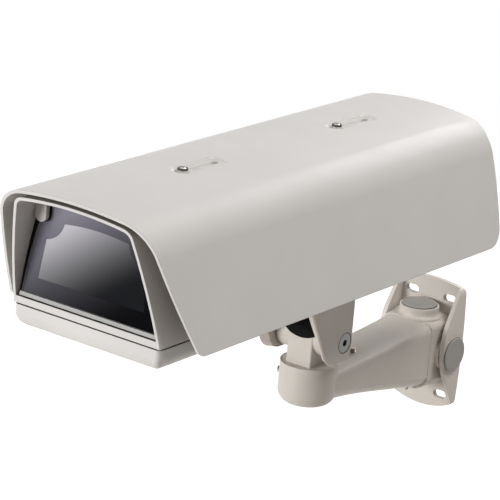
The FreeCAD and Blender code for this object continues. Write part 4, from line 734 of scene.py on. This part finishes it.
@dataclass
class HousingBase:
    """Saddle, tray and what is fixed in the tray."""

    half_width: float = 65.0
    nose: float = -451.2
    seam: float = 117.1
    seam_gap: float = 1.0
    corner: float = 4.0
    cord_inset: float = 0.7
    cord_width: float = 1.2
    chips: tuple[tuple[float, float, float, float, float], ...] = (
        (-26.0, 10.0, 14.0, 9.0, 2.4), (-4.0, 9.0, 8.0, 8.0, 1.8), (14.0, 12.0, 9.0, 15.0, 8.0),
        (29.0, 9.0, 6.0, 10.0, 3.0))
    cans: tuple[tuple[float, float, float, float], ...] = ((-35.0, 22.0, 4.0, 9.0), (2.0, 21.0, 3.2, 8.0),
                                                         (34.0, 22.0, 4.0, 9.0))

    def build(self) -> None:
        """Dress the base's pieces and add the small ones."""
        dress("tilt_saddle", CASTING)
        dress("base_tray", COATED)
        dress("saddle_screws", STEEL)
        dress("hinge_pins", STEEL)
        dress("tray_seal", FOAM_SEAL)
        dress("heater_plate", HEATER_METAL)
        dress("terminal_board", BOARD)
        dress("terminal_blocks", TERMINAL)
        dress("cable_glands", GLAND)
        dress("gland_nuts", GLAND)
        dress("camera_slide", SLIDE_METAL)
        dress("camera_screws", STEEL)
        self.seam_cord()
        self.board_parts()
        self.terminal_screws()
        self.gland_seals()

    def seam_cord(self) -> None:
        """Dark cord between the tray and the cover, just inside their edges."""
        _, rear = corners("tray_seal")
        tail = rear.y + 2.0
        shape = Shape()
        half = self.half_width - self.cord_inset
        nose, tail = self.nose + self.cord_inset, tail - self.cord_inset
        outline = [shape.mesh.verts.new(spot) for spot in ((-half, nose, 0), (half, nose, 0), (half, tail, 0),
                                                           (-half, tail, 0))]
        face = shape.mesh.faces.new(outline)
        bmesh.ops.bevel(shape.mesh, geom=outline, offset=self.corner - self.cord_inset, offset_type="OFFSET",
                        segments=6, profile=0.5, affect="VERTICES", material=-1)
        bmesh.ops.inset_region(shape.mesh, faces=shape.mesh.faces, thickness=self.cord_width,
                               use_boundary=True, use_even_offset=True)
        inner = max(shape.mesh.faces, key=lambda face: face.calc_area())
        bmesh.ops.delete(shape.mesh, geom=[inner], context="FACES_ONLY")
        shape.raised(shape.mesh.faces, self.seam_gap - 0.1)
        shape.moved(Matrix.Translation((0, 0, self.seam + 0.05))).done("seam_cord", BLACK_RUBBER, "housing_base")

    def board_parts(self) -> None:
        """Chips and capacitors on the terminal board."""
        low, high = corners("terminal_board")
        chips = Shape()
        for x, y, width, depth, height in self.chips:
            chips.block(width, depth, height, Matrix.Translation((x, low.y + y, high.z + height / 2)))
        chips.softened(0.4).done("board_chips", CHIP, "housing_base")
        cans = Shape()
        for x, y, radius, height in self.cans:
            can = Shape().lathe([(0.0, height), (radius - 0.6, height), (radius, height - 0.5), (radius, 1.6),
                                 (radius - 0.4, 1.3), (radius, 1.0), (radius, 0.0), (0.0, 0.0)], 24)
            cans.joined(can.moved(Matrix.Translation((x, low.y + y, high.z))))
        cans.done("board_capacitors", TINNED, "housing_base")

    def terminal_screws(self) -> None:
        """Slotted screws on top of the terminal blocks."""
        low, high = corners("terminal_blocks")
        span = high.x - low.x
        count = 12
        places = [Facing.UP.at(low.x + span * (n + 0.5) / count, (low.y + high.y) / 2, high.z)
                  for n in range(count) if n not in (5, 6)]
        screw = Shape().lathe([(0.0, 0.5), (1.6, 0.5), (2.0, 0.2), (2.0, 0.0), (0.0, 0.0)], 20)
        screw.repeated(places).done("terminal_screws", TINNED, "housing_base")

    def gland_seals(self) -> None:
        """Rubber rings at the mouths of the cable glands."""
        low, high = corners("cable_glands")
        reach = (high.x - low.x) / 2 - (high.y - low.y) / 2
        y = (low.y + high.y) / 2
        places = [Facing.DOWN.at(side * reach, y, low.z + 0.2) for side in (-1, 1)]
        Shape().ring(3.9, 0.6).repeated(places).done("gland_seals", BLACK_RUBBER, "housing_base")


@dataclass
class Cover:
    """Cover with its window and closing screws."""

    half_base: float = 65.0
    half_shoulder: float = 50.6
    base: float = 117.1
    shoulder: float = 201.8
    top: float = 206.0
    crown: float = 4.2
    bow: float = 2.0
    corner: float = 9.0
    pane_foot: float = -449.2
    pane_lean: float = 4.7
    pane_low: float = 123.8
    lobe_side: float = 45.7
    lobe_height: float = 185.8
    lobe_radius: float = 5.0
    clear_low: float = 139.1
    clear_foot: float = 47.1
    clear_side: tuple[float, float] = (42.9, 168.1)
    clear_top: tuple[float, float] = (28.2, 182.2)
    clear_crown: float = 184.3

    def build(self) -> None:
        """Dress the cover's pieces and add the window's details."""
        dress("upper_cover", COATED)
        dress("window_glass", CLEAR_PANE)
        dress("window_seal", FOAM_SEAL)
        dress("window_retainer", STRIP)
        dress("closing_screws", STEEL)
        dress("shade_slide_pads", NYLON)
        dress("shade_washers", NYLON)
        self.printed_border()
        self.window_gasket()
        self.pane_edge_highlight()
        self.lobe_shadow_outlines()
        self.foot_shadow_line()
        self.pocket_screws()

    def on_pane(self, proud: float) -> Matrix:
        """Place on the leaning pane of a piece drawn flat.

        Args:
            proud: Distance in front of the pane.

        Returns:
            The matrix from the drawing (X, height, thickness) to the pane.
        """
        slope = self.pane_lean / (self.top - self.base)
        offset = self.pane_foot - slope * self.base - proud
        return Matrix(((1, 0, 0, 0), (0, slope, -1, offset), (0, 1, 0, 0), (0, 0, 0, 1)))

    def arch(self, shape: Shape, side_low: float, side_high: float, top: float, low: float) -> None:
        """Draw the cover's section, moved inward.

        Args:
            shape: Where it is drawn.
            side_low: Distance of its sides to the cover's at the foot.
            side_high: The same at the shoulder.
            top: Distance of its top to the cover's.
            low: Height of its foot.
        """
        high = self.shoulder - top
        fall = (self.half_base - self.half_shoulder) / (self.shoulder - self.base)
        foot = self.half_base - fall * (low - self.base) - side_low
        head = self.half_base - fall * (high - self.base) - side_high
        arch = Shape()
        verts = [arch.mesh.verts.new((x, z, 0.0)) for x, z in ((-foot, low), (foot, low), (head, high),
                                                              (-head, high))]
        arch.mesh.faces.new(verts)
        bmesh.ops.bevel(arch.mesh, geom=verts[2:], offset=self.corner, offset_type="OFFSET", segments=8,
                        profile=0.5, affect="VERTICES", material=-1)
        long = [edge for edge in arch.mesh.edges if edge.calc_length() > self.corner]
        bmesh.ops.subdivide_edges(arch.mesh, edges=long, cuts=16)
        for vert in arch.mesh.verts:
            share = (vert.co.y - low) / (high - low)
            edge_x = foot + (head - foot) * share
            vert.co.x += math.copysign(4 * self.bow * share * (1 - share), vert.co.x) * abs(vert.co.x) / edge_x
            rise = max(0.0, min(1.0, (vert.co.y - high + self.corner) / self.corner))
            vert.co.y += rise * self.crown * (1 - (vert.co.x / head) ** 2)
        bmesh.ops.delete(arch.mesh, geom=arch.mesh.faces, context="FACES_ONLY")
        shape.joined(arch)

    def clear_outline(self, shape: Shape) -> None:
        """Draw the edge of the print, which leaves the clear part of the pane free.

        Args:
            shape: Where it is drawn.
        """
        start = shape.mesh.verts.new((-self.clear_side[0], self.clear_side[1], 0.0))
        first = start
        out = Vector((-self.clear_side[0] + self.lobe_side, self.clear_side[1] - self.lobe_height))
        back = Vector((-self.clear_top[0] + self.lobe_side, self.clear_top[1] - self.lobe_height))
        swing = back.angle(out)
        rise = self.clear_crown - self.clear_top[1]
        arch_radius = (self.clear_top[0] ** 2 + rise ** 2) / (2 * rise)
        sweep = 2 * math.asin(self.clear_top[0] / arch_radius)
        for centre, angle, steps in (((-self.lobe_side, self.lobe_height, 0.0), swing, 10),
                                     ((0.0, self.clear_crown - arch_radius, 0.0), -sweep, 14),
                                     ((self.lobe_side, self.lobe_height, 0.0), swing, 10)):
            spun = bmesh.ops.spin(shape.mesh, geom=[start], cent=centre, axis=(0, 0, 1), angle=angle, steps=steps)
            start = next(item for item in spun["geom_last"] if isinstance(item, bmesh.types.BMVert))
        right = shape.mesh.verts.new((self.clear_foot, self.clear_low, 0.0))
        left = shape.mesh.verts.new((-self.clear_foot, self.clear_low, 0.0))
        for pair in ((start, right), (right, left), (left, first)):
            shape.mesh.edges.new(pair)

    def printed_border(self) -> None:
        """Dark print round the clear part of the pane."""
        shape = Shape()
        self.arch(shape, 2.5, 2.5, 2.5, self.pane_low)
        self.clear_outline(shape)
        shape.filled(0.12).moved(self.on_pane(0.05)).done("printed_border", PRINTED_BORDER, "cover")

    def window_gasket(self) -> None:
        """Black gasket between the pane and the recess, wider toward the top."""
        shape = Shape()
        self.arch(shape, 2.4, 2.4, 2.4, self.pane_low)
        self.arch(shape, 3.3, 6.2, 6.0, self.pane_low - 0.4)
        shape.filled(0.7).moved(self.on_pane(0.1)).done("window_gasket", BLACK_RUBBER, "cover")

    def pane_edge_highlight(self) -> None:
        """Ground edge of the pane, a thin paler line inside the gasket that is partly the edge's own colour and
        partly a painted highlight.
        """
        shape = Shape()
        self.arch(shape, 3.2, 6.1, 5.9, self.pane_low)
        self.arch(shape, 3.9, 6.8, 6.6, self.pane_low - 0.4)
        shape.filled(0.3).moved(self.on_pane(0.1)).done("pane_edge_highlight", PANE_EDGE_HIGHLIGHT, "cover")

    def lobe_shadow_outlines(self) -> None:
        """Black cord along each lobe's side wall, where it meets the print: painted shade on that wall."""
        shape = Shape()
        inner, outer = self.lobe_radius + 0.1, self.lobe_radius + 0.5
        ends = [shape.mesh.verts.new((-radius, 0.0, 0.0)) for radius in (inner, outer)]
        edge = shape.mesh.edges.new(ends)
        bmesh.ops.spin(shape.mesh, geom=ends + [edge], cent=(0, 0, 0), axis=(0, 0, 1), angle=math.pi, steps=20)
        tips = [edge for edge in shape.mesh.edges if all(abs(vert.co.y) < 0.01 for vert in edge.verts)]
        grown = bmesh.ops.extrude_edge_only(shape.mesh, edges=tips)
        bmesh.ops.translate(shape.mesh, vec=(0, 9.0, 0),
                            verts=[item for item in grown["geom"] if isinstance(item, bmesh.types.BMVert)])
        shape.raised(shape.mesh.faces, 2.2)
        places = [self.on_pane(0.15) @ Matrix.Translation((side * self.lobe_side, self.lobe_height, 0))
                  for side in (-1, 1)]
        shape.repeated(places).done("lobe_shadow_cords", BLACK_RUBBER, "cover")

    def foot_shadow_line(self) -> None:
        """Black cord between the strip at the pane's foot and the recess's sill: painted shadow of the gap there."""
        low, high = corners("window_retainer")
        place = Matrix.Translation(((low.x + high.x) / 2, low.y - 0.3, low.z + 0.35))
        Shape().block(high.x - low.x - 0.4, 0.6, 0.6, place).done("foot_shadow_line", BLACK_RUBBER, "cover")

    def pocket_screws(self) -> None:
        """Screws with a bright dome in a dark rim of painted shade, and black crosses of painted shade for their
        recesses, in the sunshield's pockets.
        """
        low, high = corners("shade_screws")
        head, shank = 4.0, 2.0
        dome = high.z - low.z
        profile = [(0.0, 0.0), (1.2, -0.12), (2.0, -0.5), (2.4, -1.0), (2.4, -1.6), (head, -1.7), (head, -2.2),
                   (shank, -2.2), (shank, -dome), (0.0, -dome)]
        places = [Facing.UP.at(0.0, y, high.z) for y in (low.y + head, high.y - head)]
        Shape().lathe(profile, 40).repeated(places).done("pocket_screws", SCREW_DOME, "cover", ["shade_screws"])
        # Dark ring of painted shade round each dome.
        rim_shades = Shape().ring(head - 0.8, 0.8, -1.15).repeated(places)
        rim_shades.done("pocket_screw_rim_shades", SCREW_RIM_SHADE, "cover")
        cover_top = corners("upper_cover")[1].z
        strips = Shape().block(5.6, 34.0, 0.8, Matrix.Identity(4)).softened(0.25)
        strips.repeated([Matrix.Translation((0, place.translation.y + 25.5, cover_top + 0.3)) for place in places])
        strips.done("slide_strips", WHITE_NYLON, "cover")
        # Black cross of painted shade for each screw's recess.
        cross = Shape().block(1.8, 0.5, 0.5, Matrix.Identity(4)).block(0.5, 1.8, 0.5, Matrix.Identity(4))
        cross.repeated([place @ Matrix.Translation((0, 0, -0.27)) for place in places])
        cross.done("pocket_screw_recess_shades", SOCKET_SHADE, "cover")


@dataclass
class Sunshield:
    """The sliding sheet over the cover."""

    wall: float = 2.5
    dish_depth: float = 1.6
    slot_half: float = 2.3
    travel: float = 36.0
    head_radius: float = 4.0
    highlight_thickness: float = 0.15

    def build(self) -> None:
        """Dress the sheet and line the left wall of each slot in white: painted light on that wall."""
        dress("sunshield", SHADE)
        low, high = corners("shade_screws")
        floor = corners("sunshield")[1].z - self.dish_depth
        x = self.highlight_thickness / 2 + 0.02 - self.slot_half
        start = self.head_radius + 1.2
        length = self.travel - start
        places = [Matrix.Translation((x, y + start + length / 2, floor - self.wall / 2))
                  for y in (low.y + self.head_radius, high.y - self.head_radius)]
        # White lining on the slot's left wall: painted light where that wall is lit.
        Shape().block(self.highlight_thickness, length, self.wall - 0.1, Matrix.Identity(4)).repeated(places).done(
            "slot_wall_highlights", WHITE_NYLON, "sunshield_sheet")


@dataclass
class Studio:
    """Floor, lamps, world and camera."""

    azimuth: float = 35.27
    elevation: float = 17.68
    roll: float = 4.84
    focal_px: float = 2700.0
    image_px: float = 500.0
    anchor_px: tuple[float, float] = (61.87, 339.38)
    anchor: tuple[float, float, float] = (0.0, -475.5, 113.7)
    distance: float = 1820.9
    sensor: float = 36.0
    floor_drop: float = 1500.0
    ambient: float = 0.165

    def build(self) -> None:
        """Set up the whole studio."""
        self.camera()
        self.lamps()
        self.world()
        self.floor()
        bpy.context.scene.view_settings.view_transform = "Standard"

    def directions(self) -> tuple[Vector, Vector, Vector]:
        """The camera's right, up and forward directions.

        Returns:
            Three unit vectors.
        """
        turn, rise, lean = (math.radians(v) for v in (self.azimuth, self.elevation, self.roll))
        forward = Vector((-math.sin(turn) * math.cos(rise), math.cos(turn) * math.cos(rise), -math.sin(rise)))
        level = Vector((math.cos(turn), math.sin(turn), 0.0))
        upright = level.cross(forward)
        right = math.cos(lean) * level + math.sin(lean) * upright
        up = -math.sin(lean) * level + math.cos(lean) * upright
        return right, up, forward

    def camera(self) -> None:
        """Make the camera at the photograph's viewing angle."""
        right, up, forward = self.directions()
        centre = self.image_px / 2
        over = (self.anchor_px[0] - centre) / self.focal_px * self.distance
        below = (self.anchor_px[1] - centre) / self.focal_px * self.distance
        spot = Vector(self.anchor) - over * right + below * up - self.distance * forward
        data = bpy.data.cameras.new("photo_camera")
        data.sensor_width = self.sensor
        data.lens = self.focal_px / self.image_px * self.sensor
        data.clip_end = 50.0
        camera = bpy.data.objects.new("photo_camera", data)
        pose = Matrix((right, up, -forward)).transposed().to_4x4()
        pose.translation = spot * MM
        camera.matrix_world = pose
        bpy.context.scene.collection.objects.link(camera)
        bpy.context.scene.camera = camera

    def lamp(self, name: str, place: Vector, aim: Vector, size: tuple[float, float], level: float,
             colour: Colour = (1.0, 1.0, 1.0)) -> None:
        """Make a soft lamp.

        Args:
            name: The lamp's name.
            place: Where it stands, in metres.
            aim: What it points at.
            size: Width and height in metres.
            level: Brightness that it gives a white surface at its aim.
            colour: Its tint.
        """
        data = bpy.data.lights.new(name, "AREA")
        data.shape = "RECTANGLE"
        data.size, data.size_y = size
        data.energy = level * math.pi ** 2 * (aim - place).length_squared
        data.color = colour
        lamp = bpy.data.objects.new(name, data)
        lamp.location = place
        lamp.rotation_euler = (aim - place).to_track_quat("-Z", "Y").to_euler()
        bpy.context.scene.collection.objects.link(lamp)

    def lamps(self) -> None:
        """Make the soft lamps."""
        middle = mm(0, -250, 120)
        self.lamp("key_lamp", middle + 2.8 * Vector((-0.44, -0.89, 0.12)), middle, (1.2, 1.0), 0.83)
        self.lamp("side_lamp", middle + 2.6 * Vector((0.51, 0.08, 0.86)), middle, (0.9, 0.9), 0.63,
                  (1.0, 0.98, 0.965))
        self.lamp("rear_lamp", middle + 2.6 * Vector((-0.12, 0.91, 0.40)), middle, (1.2, 0.6), 0.26)

    def seen_directly(self, tree: bpy.types.NodeTree) -> bpy.types.NodeSocket:
        """1 for what the camera sees, also in gloss and through glass.

        Args:
            tree: The node tree to add to.

        Returns:
            The factor's socket.
        """
        rays = tree.nodes.new("ShaderNodeLightPath")
        factor = rays.outputs["Is Camera Ray"]
        for name in ("Is Glossy Ray", "Is Transmission Ray"):
            either = tree.nodes.new("ShaderNodeMath")
            either.operation = "MAXIMUM"
            tree.links.new(factor, either.inputs[0])
            tree.links.new(rays.outputs[name], either.inputs[1])
            factor = either.outputs[0]
        return factor

    def world(self) -> None:
        """Plain even light from all round, white where the camera sees it."""
        world = bpy.data.worlds.new("studio_world")
        bpy.context.scene.world = world
        world.use_nodes = True
        tree = world.node_tree
        tree.nodes.clear()
        output = tree.nodes.new("ShaderNodeOutputWorld")
        dim = tree.nodes.new("ShaderNodeBackground")
        dim.inputs["Color"].default_value = (1.0, 0.95, 0.905, 1.0)
        dim.inputs["Strength"].default_value = self.ambient
        white = tree.nodes.new("ShaderNodeBackground")
        white.inputs["Color"].default_value = (1.0, 1.0, 1.0, 1.0)
        white.inputs["Strength"].default_value = 1.0
        mix = tree.nodes.new("ShaderNodeMixShader")
        tree.links.new(self.seen_directly(tree), mix.inputs[0])
        tree.links.new(dim.outputs["Background"], mix.inputs[1])
        tree.links.new(white.outputs["Background"], mix.inputs[2])
        tree.links.new(mix.outputs["Shader"], output.inputs["Surface"])

    def floor(self) -> None:
        """Make the pale floor, well below the housing on its wall."""
        shape = bmesh.new()
        bmesh.ops.create_circle(shape, cap_ends=True, segments=64, radius=6.0,
                                matrix=Matrix.Translation(mm(0, -250, -self.floor_drop)))
        mesh = bpy.data.meshes.new("floor")
        shape.to_mesh(mesh)
        shape.free()
        floor = bpy.data.objects.new("floor", mesh)
        bpy.context.scene.collection.objects.link(floor)
        board = NodeBoard("floor_paper")
        board.shader.inputs["Base Color"].default_value = (0.78, 0.745, 0.71, 1.0)
        board.shader.inputs["Roughness"].default_value = 0.9
        glow = board.tree.nodes.new("ShaderNodeEmission")
        glow.inputs["Color"].default_value = (1.0, 1.0, 1.0, 1.0)
        reach = board.tree.nodes.new("ShaderNodeVectorMath")
        reach.operation = "LENGTH"
        board.link(board.place, reach.inputs[0])
        level = board.ranged(reach.outputs["Value"], 1.4, 3.2, 0.70, 1.0)
        board.link(board.sum_of("MULTIPLY", self.seen_directly(board.tree), level), glow.inputs["Strength"])
        lit = board.tree.nodes.new("ShaderNodeAddShader")
        board.link(board.shader.outputs["BSDF"], lit.inputs[0])
        board.link(glow.outputs["Emission"], lit.inputs[1])
        board.link(lit.outputs["Shader"], board.output.inputs["Surface"])
        mesh.materials.append(board.material)


def main() -> None:
    """Build every sub-assembly in order and set up the studio."""
    logging.basicConfig(level=logging.INFO, format="%(message)s")
    for part in (WallBracket(), SwivelHead(), HousingBase(), Cover(), Sunshield()):
        part.build()
        LOG.info("built %s", type(part).__name__)
    Studio().build()


if __name__ == "__main__":
    main()
